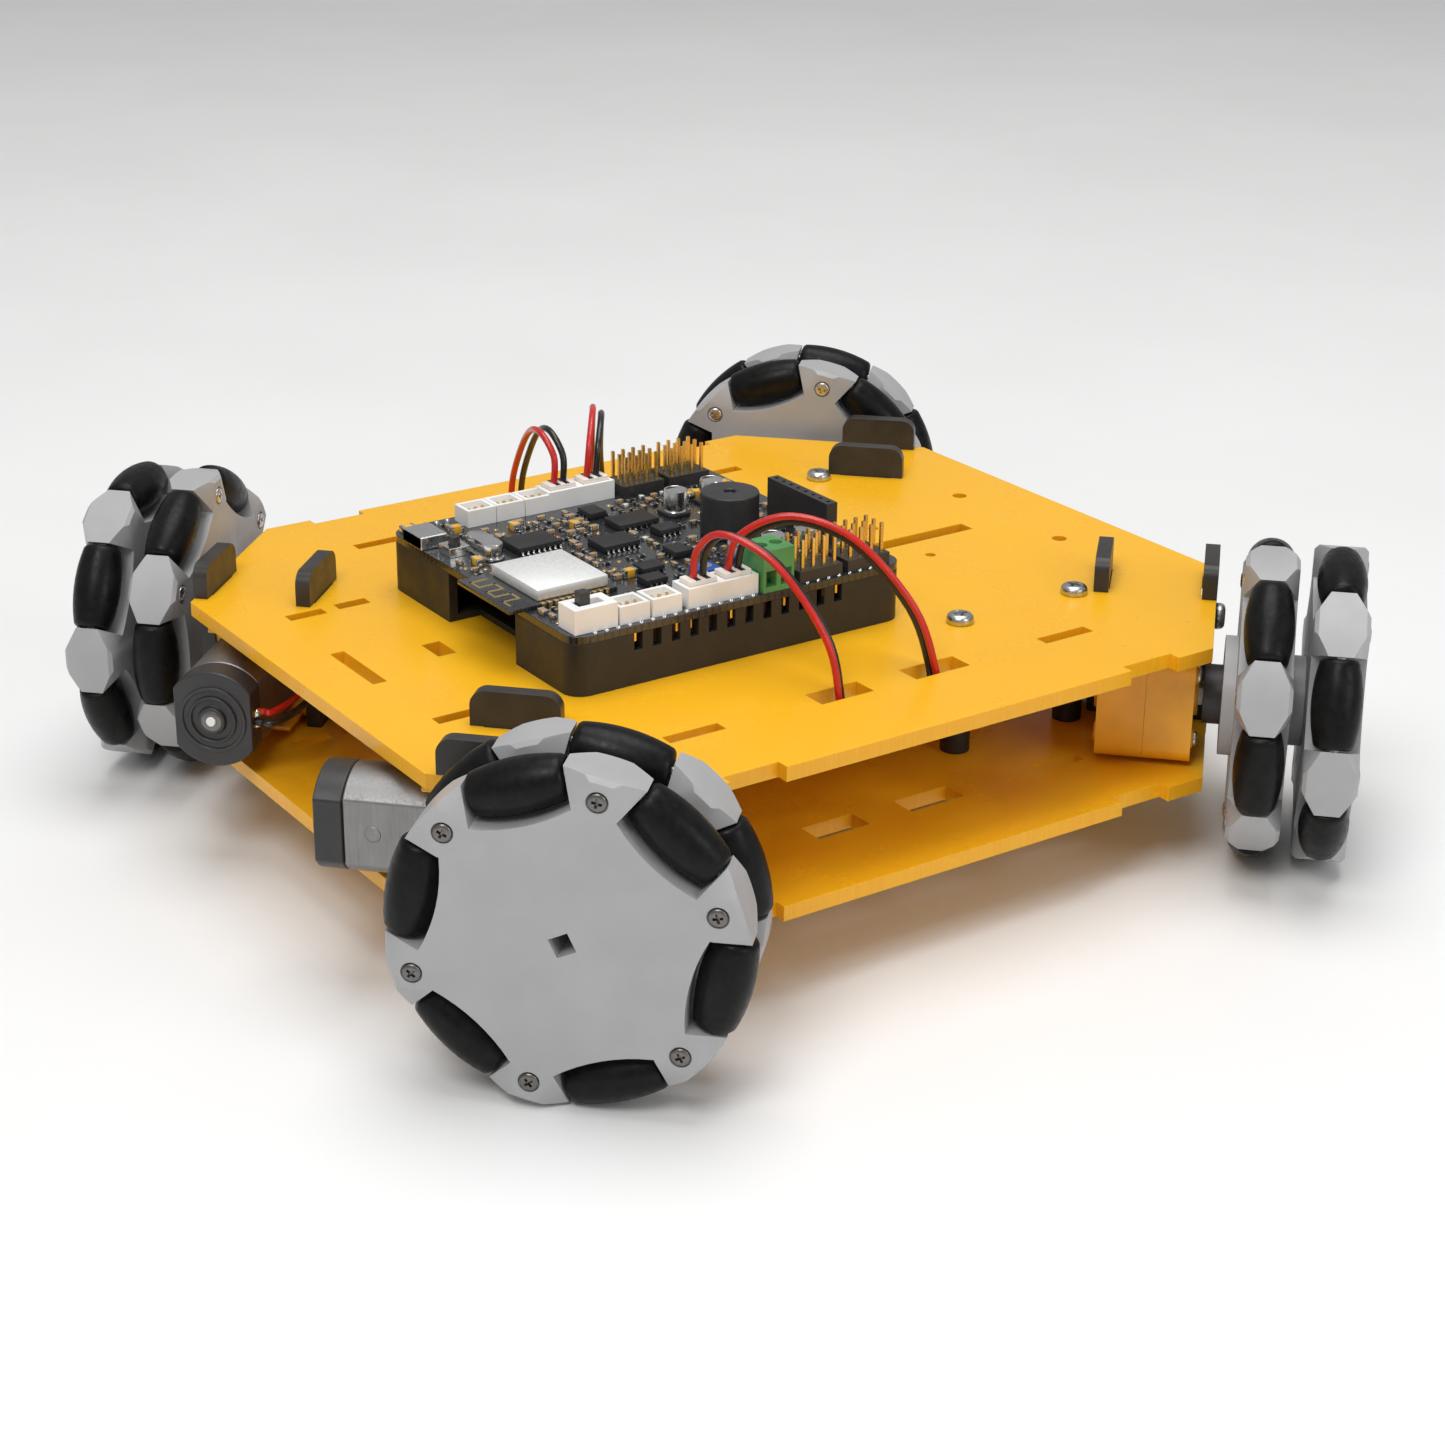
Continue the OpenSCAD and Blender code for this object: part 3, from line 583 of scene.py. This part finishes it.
WHEEL_R = 32.0
ROLLER_R = 4.8
ROLLER_L = 17.2
ROW_X = 6.7
RING_R = WHEEL_R - ROLLER_R
PIN_R = 1.0
PIN_L = 20.6
DISC_FACE = 11.9
SCREW_RING = 27.2
ROLLERS_PER_ROW = 6
ROLLER_STEP = 60
ROW_OFFSET = 30
SHAFT_R = 2.9
SHAFT_TIP = -10.7
ROW_TURN = {"front_left": 47, "rear_left": 38, "rear_right": 43, "front_right": 30}


def barrel(u):
    return math.sqrt(WHEEL_R * WHEEL_R - u * u) - RING_R


def roller_frames(corner):
    """The matrix of each roller, with its axis on Z: the outer row's, then the inner row's."""
    base = corner_frame(corner)
    for row, side in enumerate((1, -1)):
        for k in range(ROLLERS_PER_ROW):
            angle = ROW_TURN[corner] + ROW_OFFSET * row + ROLLER_STEP * k
            turned = Matrix.Rotation(math.radians(angle), 4, "X")
            yield base @ Matrix.Translation(mm(side * ROW_X, 0, 0)) @ turned @ \
                Matrix.Translation(mm(0, RING_R, 0))


def add_roller(piece, matrix):
    """A barrel of rubber on a plastic core, with rounded shoulders and recessed ends."""
    half, core_r, bore = ROLLER_L / 2, 2.1, PIN_R + 0.08
    end = barrel(half)
    shoulder, steps = 0.7, 10
    along = [(half - shoulder) * (i / steps - 1) for i in range(2 * steps + 1)]
    side = [(barrel(u), u) for u in along]
    low_end = [(core_r, -half + 0.35), (core_r, -half + 0.1), (core_r + 0.3, -half),
               (end - 0.9, -half), (end - 0.35, -half + 0.12), (end - 0.05, -half + 0.38)]
    high_end = [(r, -h) for r, h in reversed(low_end)]
    piece.lathe(low_end + side + high_end, RUBBER, matrix, 40)
    sleeve = [(bore, -half + 0.05), (core_r - 0.05, -half + 0.05), (core_r, -half + 0.2),
              (core_r, half - 0.2), (core_r - 0.05, half - 0.05), (bore, half - 0.05),
              (bore, -half + 0.05)]
    piece.lathe(sleeve, SOFT_BLACK, matrix, 24)


def make_rollers():
    for n, matrix in enumerate(roller_frames("front_left"), 1):
        piece = Piece()
        add_roller(piece, matrix)
        node = f"roller_front_left_{n}"
        piece.done(f"rubber_roller_front_left_{n}", node, (node,), "roller_rubber")
    for corner in CORNERS[1:]:
        piece = Piece()
        for matrix in roller_frames(corner):
            add_roller(piece, matrix)
        piece.done("rubber_rollers_" + corner, "wheel_" + corner, ("rollers_" + corner,),
                   "roller_rubber")


def make_wheel_steel(corner):
    """The rollers' pins and the small screws in the petals."""
    piece = Piece()
    half = PIN_L / 2
    pin = [(0, -half), (PIN_R - 0.15, -half), (PIN_R, -half + 0.15), (PIN_R, half - 0.15),
           (PIN_R - 0.15, half), (0, half)]
    for matrix in roller_frames(corner):
        piece.lathe(pin, STEEL, matrix, 16)
    base, mat = corner_frame(corner), DARK_STEEL if corner == "front_left" else STEEL
    spin = 17
    for row, side in enumerate((1, -1)):
        for k in range(ROLLERS_PER_ROW):
            angle = ROW_TURN[corner] + ROW_OFFSET * row + ROLLER_STEP * k + ROLLER_STEP / 2
            place = base @ Matrix.Rotation(math.radians(angle), 4, "X") @ \
                Matrix.Translation(mm(side * (DISC_FACE - 0.5), SCREW_RING, 0)) @ \
                Matrix.Rotation(math.radians(90 * side), 4, "Y") @ \
                Matrix.Rotation(math.radians(spin * k), 4, "Z")
            screw(piece, place, 1.7, 0.8, 1.0, 7.4, mat)
    piece.done("wheel_steel_" + corner, "wheel_" + corner, ("wheel_pins_" + corner,), "steel")


def make_wheels():
    for hub in ("outer_front_left", "inner_front_left", *CORNERS[1:]):
        dress("hub_" + hub, GREY, 0.55, 3)
    for corner in CORNERS:
        make_wheel_steel(corner)
        inverse = corner_frame(corner).inverted()
        dress("drive_shaft_" + corner, WHITE, 0.15)
        paint("drive_shaft_" + corner, BLACK,
              lambda c: (inverse @ c).yz.length > SHAFT_R * MM or (inverse @ c).x > SHAFT_TIP * MM)
    make_rollers()


# ------------------------------------------------------------------- drive

GEAR_MID = -29.1
GEAR_HALF = 9.4
CAN_START = 26.0
CAP_END = 54.0
MOUNT_BACK = 20.9
MOUNT_UP = 8.75
BRACKET_T = 3
LEAD_GAP = 2.2
MOTOR_SIDE = {"front_left": -1, "rear_left": 1, "rear_right": -1, "front_right": 1}


def drive_frame(corner):
    """The corner's frame with Y towards the motor and the origin in the gearbox, on the axle."""
    base = corner_frame(corner) @ Matrix.Translation(mm(GEAR_MID, 0, 0))
    return base @ Matrix.Scale(MOTOR_SIDE[corner], 4, (0, 1, 0))


def facing(base, x, y, z, out):
    """A part's Z along the frame's X (out 1) or against it (out -1), at a point in millimetres."""
    return base @ Matrix.Translation(mm(x, y, z)) @ Matrix.Rotation(math.radians(90 * out), 4, "Y")


def make_gearbox_details(corner):
    """The raised ring round the shaft, the case's bosses and screws, and tongues on the motor."""
    piece, base = Piece(), drive_frame(corner)
    for out in (1, -1):
        ring = [(2.85, 0), (4.6, 0), (4.6, 0.5), (4.3, 0.8), (3.1, 0.8), (2.85, 0.55), (2.85, 0)]
        piece.lathe(ring, GEARBOX, facing(base, out * GEAR_HALF, 0, 0, out), 32)
        for y, z in ((-7.6, 6.8), (-7.6, -6.8), (12.5, 0)):
            place = facing(base, out * GEAR_HALF, y, z, out)
            boss = [(0, 0), (1.9, 0), (1.9, 0.3), (1.7, 0.45), (0, 0.45)]
            piece.lathe(boss, GEARBOX, place, 24)
            if out > 0:
                screw(piece, place @ Matrix.Translation(mm(0, 0, 0.45)), 1.5, 0.7, 0.5, 0.2, STEEL)
    for z in (-1, 1):
        piece.box((-8.2, CAN_START - 1, z * 10.1 - 0.5), (8.2, CAN_START + 7.5, z * 10.1 + 0.5),
                  GEARBOX, 0.25, base)
    piece.done("gearbox_details_" + corner, "chassis", slot="gearbox_yellow")


def make_motor_details(corner):
    """The cap's rings, bearing, shaft end and soldered lead tabs, and the can's dimples."""
    piece, base = Piece(), drive_frame(corner)
    along = base @ Matrix.Rotation(math.radians(-90), 4, "X")
    for r, wide, high in ((6.9, 0.8, 0.35), (4.9, 0.6, 0.5)):
        ring = [(r - wide, CAP_END - 0.2), (r, CAP_END - 0.2), (r, CAP_END + high - 0.12),
                (r - 0.12, CAP_END + high), (r - wide + 0.12, CAP_END + high),
                (r - wide, CAP_END + high - 0.12), (r - wide, CAP_END - 0.2)]
        piece.lathe(ring, BLACK, along, 40)
    bush = [(1.0, CAP_END), (2.1, CAP_END), (2.1, CAP_END + 0.9), (1.95, CAP_END + 1.0),
            (1.1, CAP_END + 1.0), (1.0, CAP_END + 0.9), (1.0, CAP_END)]
    piece.lathe(bush, DARK_STEEL, along, 24)
    end = [(0, CAP_END), (0.98, CAP_END), (0.98, CAP_END + 1.2), (0.85, CAP_END + 1.35),
           (0, CAP_END + 1.35)]
    piece.lathe(end, WHITE, along, 24)
    inner_face, tab_y = -8.0, 51.3
    for z in (-LEAD_GAP / 2, LEAD_GAP / 2):
        piece.box((inner_face - 0.35, tab_y - 1.0, z - 0.7),
                  (inner_face + 0.1, tab_y + 1.0, z + 0.7), GOLD, 0.1, base)
        blob = [(0, 0), (0.95, 0), (0.9, 0.3), (0.6, 0.7), (0.3, 0.85), (0, 0.9)]
        piece.lathe(blob, BRIGHT, facing(base, inner_face - 0.3, tab_y, z, -1), 16)
    for y in (CAN_START + 9, CAN_START + 17):
        for side in (-1, 1):
            dimple = [(0, -0.15), (1.0, -0.08), (1.3, 0.05), (1.5, 0.08), (1.6, 0.0), (1.6, -0.3),
                      (0, -0.3)]
            piece.lathe(dimple, CAN, facing(base, side * 7.7, y, 0, side), 24)
    piece.done("motor_details_" + corner, "chassis", slot="can_steel")


def make_bracket_bolts():
    """The M3 bolts through each pair of brackets, with their nuts inside."""
    piece = Piece()
    for corner in CORNERS:
        base = drive_frame(corner)
        for z in (-MOUNT_UP, MOUNT_UP):
            outer = facing(base, GEAR_HALF + BRACKET_T, MOUNT_BACK, z, 1)
            m3_screw(piece, outer, 27.9)
            inner = facing(base, -GEAR_HALF - BRACKET_T, MOUNT_BACK, z, -1)
            piece.slab(nut_outline(), 0, NUT_H, STEEL, inner, 0.25)
    piece.done("bracket_bolts_and_nuts", "chassis", ("bracket_bolts",), "steel")


STANDOFFS = ((44, 29.5), (44, 59.2), (31.5, -51))
TRAY_REAR_SCREW = (31.5, 17)
TRAY_FLANGE = 3.0


def make_chassis_screws():
    """The screws of the standoffs and the tray, and the tray's two nuts under the top plate."""
    piece = Piece()
    turn_by = random.Random(3)
    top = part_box("top_plate")[1].z
    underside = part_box("bottom_plate")[0].z
    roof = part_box("top_plate")[0].z
    for side in (-1, 1):
        for i, (x, y) in enumerate((*STANDOFFS, TRAY_REAR_SCREW)):
            raised = TRAY_FLANGE if i >= 2 else 0.0
            reach = {2: 12.0, 3: 10.0}.get(i, 9.0)
            spot = Vector((side * x * MM, y * MM, top + raised * MM))
            m3_screw(piece, at(spot, spin=turn_by.uniform(0, 90)), reach)
            if i < 3:
                below = Vector((side * x * MM, y * MM, underside))
                m3_screw(piece, at(below, (0, 0, -1), turn_by.uniform(0, 90)), 9.0)
        x, y = TRAY_REAR_SCREW
        spot = Vector((side * x * MM, y * MM, roof - NUT_H * MM))
        piece.slab(nut_outline(), 0, NUT_H, STEEL, at(spot), 0.25)
    piece.done("chassis_screws_and_nuts", "chassis", ("chassis_screws",), "steel")


# -------------------------------------------------------------- controller

LEFT_X, RIGHT_X = 31.8, -31.0
PLUG_ROWS = (-25, -17)
RIGHT_PLUG_SHIFT = 7
HEADER_PITCH = 2.54
# x, y, width, length, legs a side and turn of each chip
CHIPS = (
    (-12, -36, 7.5, 10, 8, 0), (-3, -22, 6.5, 8.5, 7, 0), (13, -24, 4, 5, 4, 0),
    (-12, -12, 6.2, 9.5, 7, 0), (8, -14, 4, 5, 4, 90), (-4, -9, 4, 5, 4, 0),
    (19, -27, 3.8, 4.8, 4, 0), (-21, -16, 4, 5, 4, 90),
)
CAPS = ((-12.5, -1), (-14, 9), (21, -8), (21, 0), (21, 8))
INDUCTOR = (14, 3)
CRYSTAL = (-13, -46)
TRIMMER = (22.5, -17)
PASSIVE_STEP = 2.7


def on_board(x, y, z=0.0, spin=0.0):
    """A place on the board's top face, in millimetres from the robot's centre."""
    return Matrix.Translation(mm(x, y, BOARD + z)) @ Matrix.Rotation(math.radians(spin), 4, "Z")


def add_chip(piece, x, y, w, l, legs, spin=0):
    """A gull-wing chip: moulded body, index dot and legs down both long sides."""
    place = on_board(x, y, 0, spin)
    piece.box((-w / 2, -l / 2, 0.12), (w / 2, l / 2, 1.5), CHIP, 0.12, place)
    piece.lathe([(0, 1.49), (0.3, 1.49), (0.3, 1.52), (0, 1.52)], SOFT_BLACK,
                place @ Matrix.Translation(mm(-w / 2 + 0.8, -l / 2 + 0.8, 0)), 12)
    pitch = l / legs
    for k in range(legs):
        y0 = -l / 2 + pitch * (k + 0.5)
        for side in (-1, 1):
            a, b = sorted((side * w / 2, side * (w / 2 + 0.55)))
            piece.box((a, y0 - 0.2, 0.55), (b, y0 + 0.2, 0.8), BRIGHT, 0.0, place)
            a, b = sorted((side * (w / 2 + 0.4), side * (w / 2 + 1.1)))
            piece.box((a, y0 - 0.2, 0.02), (b, y0 + 0.2, 0.25), BRIGHT, 0.0, place)
            a, b = sorted((side * (w / 2 + 0.38), side * (w / 2 + 0.6)))
            piece.box((a, y0 - 0.2, 0.02), (b, y0 + 0.2, 0.8), BRIGHT, 0.0, place)


def add_two_end(piece, x, y, l, w, h, body, spin=0):
    """A chip resistor or capacitor: a ceramic body between tinned ends."""
    place = on_board(x, y, 0, spin)
    cap = l * 0.22
    piece.box((-l / 2 + cap, -w / 2, 0.03), (l / 2 - cap, w / 2, h), body, 0.05, place)
    for side in (-1, 1):
        a, b = sorted((side * l / 2, side * (l / 2 - cap)))
        piece.box((a, -w / 2 - 0.03, 0.02), (b, w / 2 + 0.03, h + 0.02), BRIGHT, 0.06, place)


def taken_areas():
    """Rectangles on the board that named parts fill, in millimetres, with room round them."""
    room, areas = 0.7, []
    for node in ("radio_module", "buzzer", "screw_terminal", "usb_port", "female_header",
                 "power_switch", "button_base"):
        low, high = (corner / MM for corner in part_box(node))
        areas.append((low.x - room, low.y - room, high.x + room, high.y + room))
    for x, y, w, l, _legs, spin in CHIPS:
        w, l = (l, w) if spin else (w, l)
        areas.append((x - w / 2 - 2, y - l / 2 - 1, x + w / 2 + 2, y + l / 2 + 1))
    for x, y in CAPS:
        areas.append((x - 3.5, y - 3.5, x + 3.5, y + 3.5))
    areas.append((-36, -42, -26.5, 18.5))
    areas.append((27.5, -45, 36, 19))
    areas.append((INDUCTOR[0] - 4, INDUCTOR[1] - 4, INDUCTOR[0] + 4, INDUCTOR[1] + 4))
    areas.append((CRYSTAL[0] - 6.5, CRYSTAL[1] - 3, CRYSTAL[0] + 6.5, CRYSTAL[1] + 3))
    return areas


def make_passives():
    """Small parts in the free spaces of the board, in a jittered grid, always the same."""
    piece, dice, areas = Piece(), random.Random(11), taken_areas()
    kinds = ((1.7, 0.9, 0.5, CHIP), (1.7, 0.9, 0.85, TAN), (1.7, 0.9, 0.5, CHIP),
             (2.1, 1.3, 0.95, TAN), (3.0, 1.7, 1.6, AMBER), (1.7, 0.9, 0.7, LED_CLEAR))
    weights = (6, 6, 4, 3, 1.4, 0.8)
    x = -32.5
    while x < 33:
        y = -53.0
        while y < 19:
            px, py = x + dice.uniform(-0.35, 0.35), y + dice.uniform(-0.35, 0.35)
            kind = dice.choices(kinds, weights)[0]
            spin = dice.choice((0, 90))
            skip = dice.random() < 0.22
            free = all(not (a - 1 < px < c + 1 and b - 1 < py < d + 1) for a, b, c, d in areas)
            if free and not skip:
                add_two_end(piece, px, py, *kind, spin)
            elif free:
                pad = [(0, 0), (0.55, 0), (0.5, 0.06), (0.22, 0.06), (0.2, 0.02), (0, 0.02)]
                piece.lathe(pad, GOLD, on_board(px, py), 12)
            y += PASSIVE_STEP
        x += PASSIVE_STEP
    piece.done("small_board_parts", "chassis", slot="board_black")


def make_chips():
    """The chips, the power inductor, the crystal and a blue trimmer."""
    piece = Piece()
    for chip in CHIPS:
        add_chip(piece, *chip)
    # the power inductor: a dark square with a round ferrite top
    place = on_board(*INDUCTOR)
    piece.box((-3.4, -3.4, 0.05), (3.4, 3.4, 1.2), SOFT_BLACK, 0.3, place)
    piece.lathe([(0, 1.1), (2.9, 1.1), (3.1, 1.5), (3.1, 2.6), (2.7, 3.0), (0, 3.0)], CHIP, place, 24)
    # the crystal: a silver can with round ends on a thin base
    place, end_x = on_board(*CRYSTAL), 3.2
    halves = ((1, range(-90, 91, 15)), (-1, range(90, 271, 15)))
    for low, high, r in ((0.05, 0.6, 2.35), (0.6, 3.4, 2.0)):
        outline = [(side * end_x + r * math.cos(math.radians(a)), r * math.sin(math.radians(a)))
                   for side, span in halves for a in span]
        piece.slab(outline, low, high, BRIGHT, place, 0.2)
    # the trimmer and its screw
    piece.box((-2.4, -2.4, 0.05), (2.4, 2.4, 2.6), BLUE, 0.2, on_board(*TRIMMER))
    piece.lathe([(0, 2.55), (1.3, 2.55), (1.3, 2.8), (0, 2.8)], BRIGHT, on_board(*TRIMMER), 20)
    piece.done("board_chips", "chassis", slot="board_black")


def make_capacitors():
    """Aluminium can capacitors: black base, rolled can and a dark marker segment on top."""
    piece = Piece()
    for x, y in CAPS:
        place = on_board(x, y)
        base = [(-2.7, -2.7), (1.7, -2.7), (2.7, -1.7), (2.7, 1.7), (1.7, 2.7), (-2.7, 2.7)]
        piece.slab(base, 0.02, 0.8, BLACK, place, 0.12)
        can = [(0, 0.75), (2.35, 0.75), (2.35, 0.95), (2.15, 1.2), (2.35, 1.45), (2.5, 1.6),
               (2.5, 5.1), (2.35, 5.45), (2.1, 5.5), (2.0, 5.42), (0, 5.42)]
        piece.lathe(can, BRIGHT, place, 32)
        mark = [(1.95 * math.cos(math.radians(a)), 1.95 * math.sin(math.radians(a)))
                for a in range(125, 236, 10)]
        piece.slab(mark, 5.42, 5.47, CHIP, place)
    piece.done("can_capacitors", "chassis", ("capacitors",), "cap_silver")


def make_radio_module():
    """The radio module: black sub-board with gold edge pads, tin shield and printed aerial."""
    piece = Piece()
    low, high = (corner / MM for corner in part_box("radio_module"))
    middle, thick = (low.x + high.x) / 2, 0.9
    piece.box((low.x, low.y, BOARD + 0.02), (high.x, high.y, BOARD + thick), MASK, 0.08)
    shield_l, shield_w, lift = 16.0, 17.6, 2.4
    top = high.y - 1.2
    piece.box((middle - shield_w / 2, top - shield_l, BOARD + thick),
              (middle + shield_w / 2, top, BOARD + thick + lift), SHIELD, 0.45)
    for side in (-1, 1):
        x = middle + side * (high.x - low.x) / 2
        for k in range(11):
            y = top - 1.0 - k * 1.42
            a, b = sorted((x - side * 1.0, x + side * 0.12))
            piece.box((a, y - 0.42, BOARD + 0.01), (b, y + 0.42, BOARD + thick + 0.04), GOLD, 0.05)
    start = low.y + 1.2
    for k in range(5):
        x = low.x + 2.5 + k * 3.1
        piece.box((x, start, BOARD + thick), (x + 0.5, start + 4.0, BOARD + thick + 0.05), GOLD)
        end_y = start + (3.5 if k % 2 else 0.0)
        piece.box((x, end_y, BOARD + thick), (x + 3.1, end_y + 0.5, BOARD + thick + 0.05), GOLD)
    piece.done("radio_module_detail", "chassis", ("radio_module",), "shield_white")


def make_connector_details():
    """Contacts in the sockets, screws and clamps of the green terminal, and the USB tongue."""
    piece = Piece()
    pitch = 1.7
    for x, rows in ((LEFT_X, (-41, -33.8)), (RIGHT_X, (-38, -31.2, -24.4))):
        for y in rows:
            for k in (-1, 0, 1):
                piece.box((x - 0.3, y + k * pitch - 0.3, BOARD + 1.0),
                          (x + 0.3, y + k * pitch + 0.3, BOARD + 3.2), GOLD, 0.08)
    low, high = (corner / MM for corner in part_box("screw_terminal"))
    x, y = (low.x + high.x) / 2, (low.y + high.y) / 2
    for side in (-0.5, 0.5):
        place = Matrix.Translation(mm(x, y + side * 3.5, high.z - 2.0))
        head = [(0, 0), (1.22, 0), (1.22, 1.2), (1.1, 1.35), (0, 1.35)]
        piece.lathe(head, BRIGHT, place, 24)
        # each screw's slot is a thin dark strip laid on the head: painted shade standing in for the
        # groove
        slot_turn = place @ Matrix.Rotation(math.radians(30 + 50 * side), 4, "Z")
        piece.box((-1.1, -0.16, 1.3), (1.1, 0.16, 1.38), CHIP, 0.0, slot_turn)
        piece.box((high.x - 2.9, y + side * 3.5 - 1.1, BOARD + 1.3),
                  (high.x - 2.2, y + side * 3.5 + 1.1, BOARD + 4.2), BRIGHT, 0.1)
    low, high = (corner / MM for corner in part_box("usb_port"))
    piece.box((low.x + 1.6, low.y + 0.6, BOARD + 1.1),
              (high.x - 1.6, high.y - 0.8, BOARD + 1.75), BLUE, 0.1)
    # solder points of the headers along both long edges
    for side in (-1, 1):
        for k in range(26):
            piece.lathe([(0, 0), (0.55, 0), (0.35, 0.35), (0, 0.45)], BRIGHT,
                        on_board(side * 35.0, -50 + k * HEADER_PITCH), 12)
    piece.done("connector_details", "chassis", slot="pin_gold")


def make_plug_details():
    """Crimp windows on the lead plugs, drawn as thin dark strips of painted shade, and the pins under
    the board's near edge.
    """
    piece = Piece()
    top = BOARD + 5.0
    # each crimp window is a thin dark strip on the plug's top: painted shade in place of the opening
    for x, shift in ((LEFT_X, 0), (RIGHT_X, RIGHT_PLUG_SHIFT)):
        for y in PLUG_ROWS:
            for side in (-1, 1):
                piece.box((x - 1.9, y + shift + side * 1.1 - 0.55, top - 0.05),
                          (x + 1.9, y + shift + side * 1.1 + 0.55, top + 0.03), CHIP, 0.0)
    pitch = 3.1
    for k in range(20):
        piece.box((35.0, -48 + k * pitch, BOARD - 3.4), (35.5, -47.5 + k * pitch, BOARD - 1.7),
                  GOLD, 0.0)
    piece.done("plug_details", "chassis", slot="white_plastic")


# ------------------------------------------------------------------- leads

# The same routes as the CAD leads: millimetres, heights from the deck
FRONT_LEFT_ROUTE = (
    (31.8, -25, 17), (32.5, -24.6, 22.5), (37.5, -22.5, 26.5), (47, -17.5, 22.5),
    (56.5, -13, 10.5), (59.8, -12, 0), (59.8, -12.5, -8), (57, -22, -14.5),
    (50, -40, -16), (41, -54, -16), (34.3, -65.4, -15.5), (27.2, -78.1, -15),
    (21, -86.5, -15), (18.8, -91.4, -15), (20, -92.6, -15), (21.1, -93.7, -15),
)
REAR_LEFT_ROUTE = (
    (31.8, -17, 17), (33, -15.5, 23.5), (39, -8.5, 27.5), (48, -0.5, 24),
    (56.5, 7, 12), (59.8, 10, 0), (59.8, 11, -8), (58.5, 20, -14.5),
    (53.5, 33, -16), (49, 43, -16), (40.5, 53, -16), (34.3, 65.4, -15.5),
    (27.2, 78.1, -15), (21, 86.5, -15), (18.8, 91.4, -15), (20, 92.6, -15), (21.1, 93.7, -15),
)
PLUG_SHIFT = Vector((0.8, RIGHT_PLUG_SHIFT, 0))
LEAD_R = 0.7
LEAD_STEPS = 6


def right_route(route):
    """The mirrored route, whose plug lies further back on the board."""
    shares = [1 if i < 2 else max(0.0, 1 - (i - 1) / 3) for i in range(len(route))]
    return [Vector((-x, y, z)) + PLUG_SHIFT * s for (x, y, z), s in zip(route, shares)]


def smooth_path(route):
    """Points in metres on a smooth curve through the route's own points."""
    points = [Vector(p) for p in route]
    last = len(points) - 1
    path = []
    for i in range(last):
        a, b, c, d = points[max(i - 1, 0)], points[i], points[i + 1], points[min(i + 2, last)]
        for s in range(LEAD_STEPS):
            t = s / LEAD_STEPS
            path.append(0.5 * (2 * b + (c - a) * t + (2 * a - 5 * b + 4 * c - d) * t * t
                               + (3 * b - a - 3 * c + d) * t * t * t))
    path.append(points[last])
    return [Vector((p.x * MM, p.y * MM, (p.z + DECK) * MM)) for p in path]


def make_leads():
    """A red and a black lead from each board plug to its motor, each a tube along a smooth path."""
    colors = (("red", RED_PVC, -1), ("black", BLACK_PVC, 1))
    for corner, route in (("front_left", FRONT_LEFT_ROUTE), ("rear_left", REAR_LEFT_ROUTE)):
        for end, line in ((corner, route), (corner.replace("left", "right"), right_route(route))):
            for name, mat, side in colors:
                path = shifted(smooth_path(line), side * LEAD_GAP / 2 * MM)
                piece = Piece().tube(path, LEAD_R * MM, mat)
                made = piece.done(f"{name}_lead_{end}", "chassis", (name + "_leads",),
                                  "lead_" + name, 60)
                long = sum((b - a).length for a, b in zip(path, path[1:]))
                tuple(path[0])


# -------------------------------------------------------------------- room

LIGHT_TARGET = Vector((0, 0, 0.04))
FLOOR_REACH = 4.0
WORLD_LIGHT = 0.36


def area_light(name, place, size, power):
    lamp = bpy.data.objects.new(name, bpy.data.lights.new(name, "AREA"))
    lamp.data.shape = "DISK"
    lamp.data.size = size
    lamp.data.energy = power
    lamp.location = place
    lamp.rotation_euler = (LIGHT_TARGET - Vector(place)).to_track_quat("-Z", "Y").to_euler()
    bpy.context.scene.collection.objects.link(lamp)


def make_room():
    """A plain pale floor and plain soft studio light."""
    floor = Look("pale_floor", 0.6)
    patch = floor.spread(floor.noise(120, 3), 0.3, 0.7)
    floor.color(floor.mix(patch, (0.86, 0.86, 0.855), (0.9, 0.9, 0.895)))
    floor.bump(floor.noise(2, 3), 0.01)
    mesh = bpy.data.meshes.new("floor")
    corners = [(x * FLOOR_REACH, y * FLOOR_REACH, 0) for x, y in ((-1, -1), (1, -1), (1, 1), (-1, 1))]
    mesh.from_pydata(corners, [], [(0, 1, 2, 3)])
    mesh.materials.append(floor.mat)
    made = bpy.data.objects.new("floor", mesh)
    bpy.context.scene.collection.objects.link(made)
    area_light("key", (0.40, -0.60, 0.95), 0.5, 4.6)
    area_light("overhead", (-0.05, 0.1, 1.3), 1.0, 9.5)
    area_light("fill", (1.0, 0.3, 0.5), 0.5, 1.8)
    world = bpy.data.worlds.new("studio")
    world.use_nodes = True
    background = world.node_tree.nodes["Background"]
    background.inputs["Color"].default_value = (1, 1, 1, 1)
    background.inputs["Strength"].default_value = WORLD_LIGHT
    bpy.context.scene.world = world
    bpy.context.scene.view_settings.view_transform = "Standard"


# -------------------------------------------------------------------- build

dress_frame()
make_wheels()
for corner in CORNERS:
    make_gearbox_details(corner)
    make_motor_details(corner)
make_bracket_bolts()
make_chassis_screws()
make_chips()
make_passives()
make_capacitors()
make_radio_module()
make_connector_details()
make_plug_details()
make_leads()
make_room()
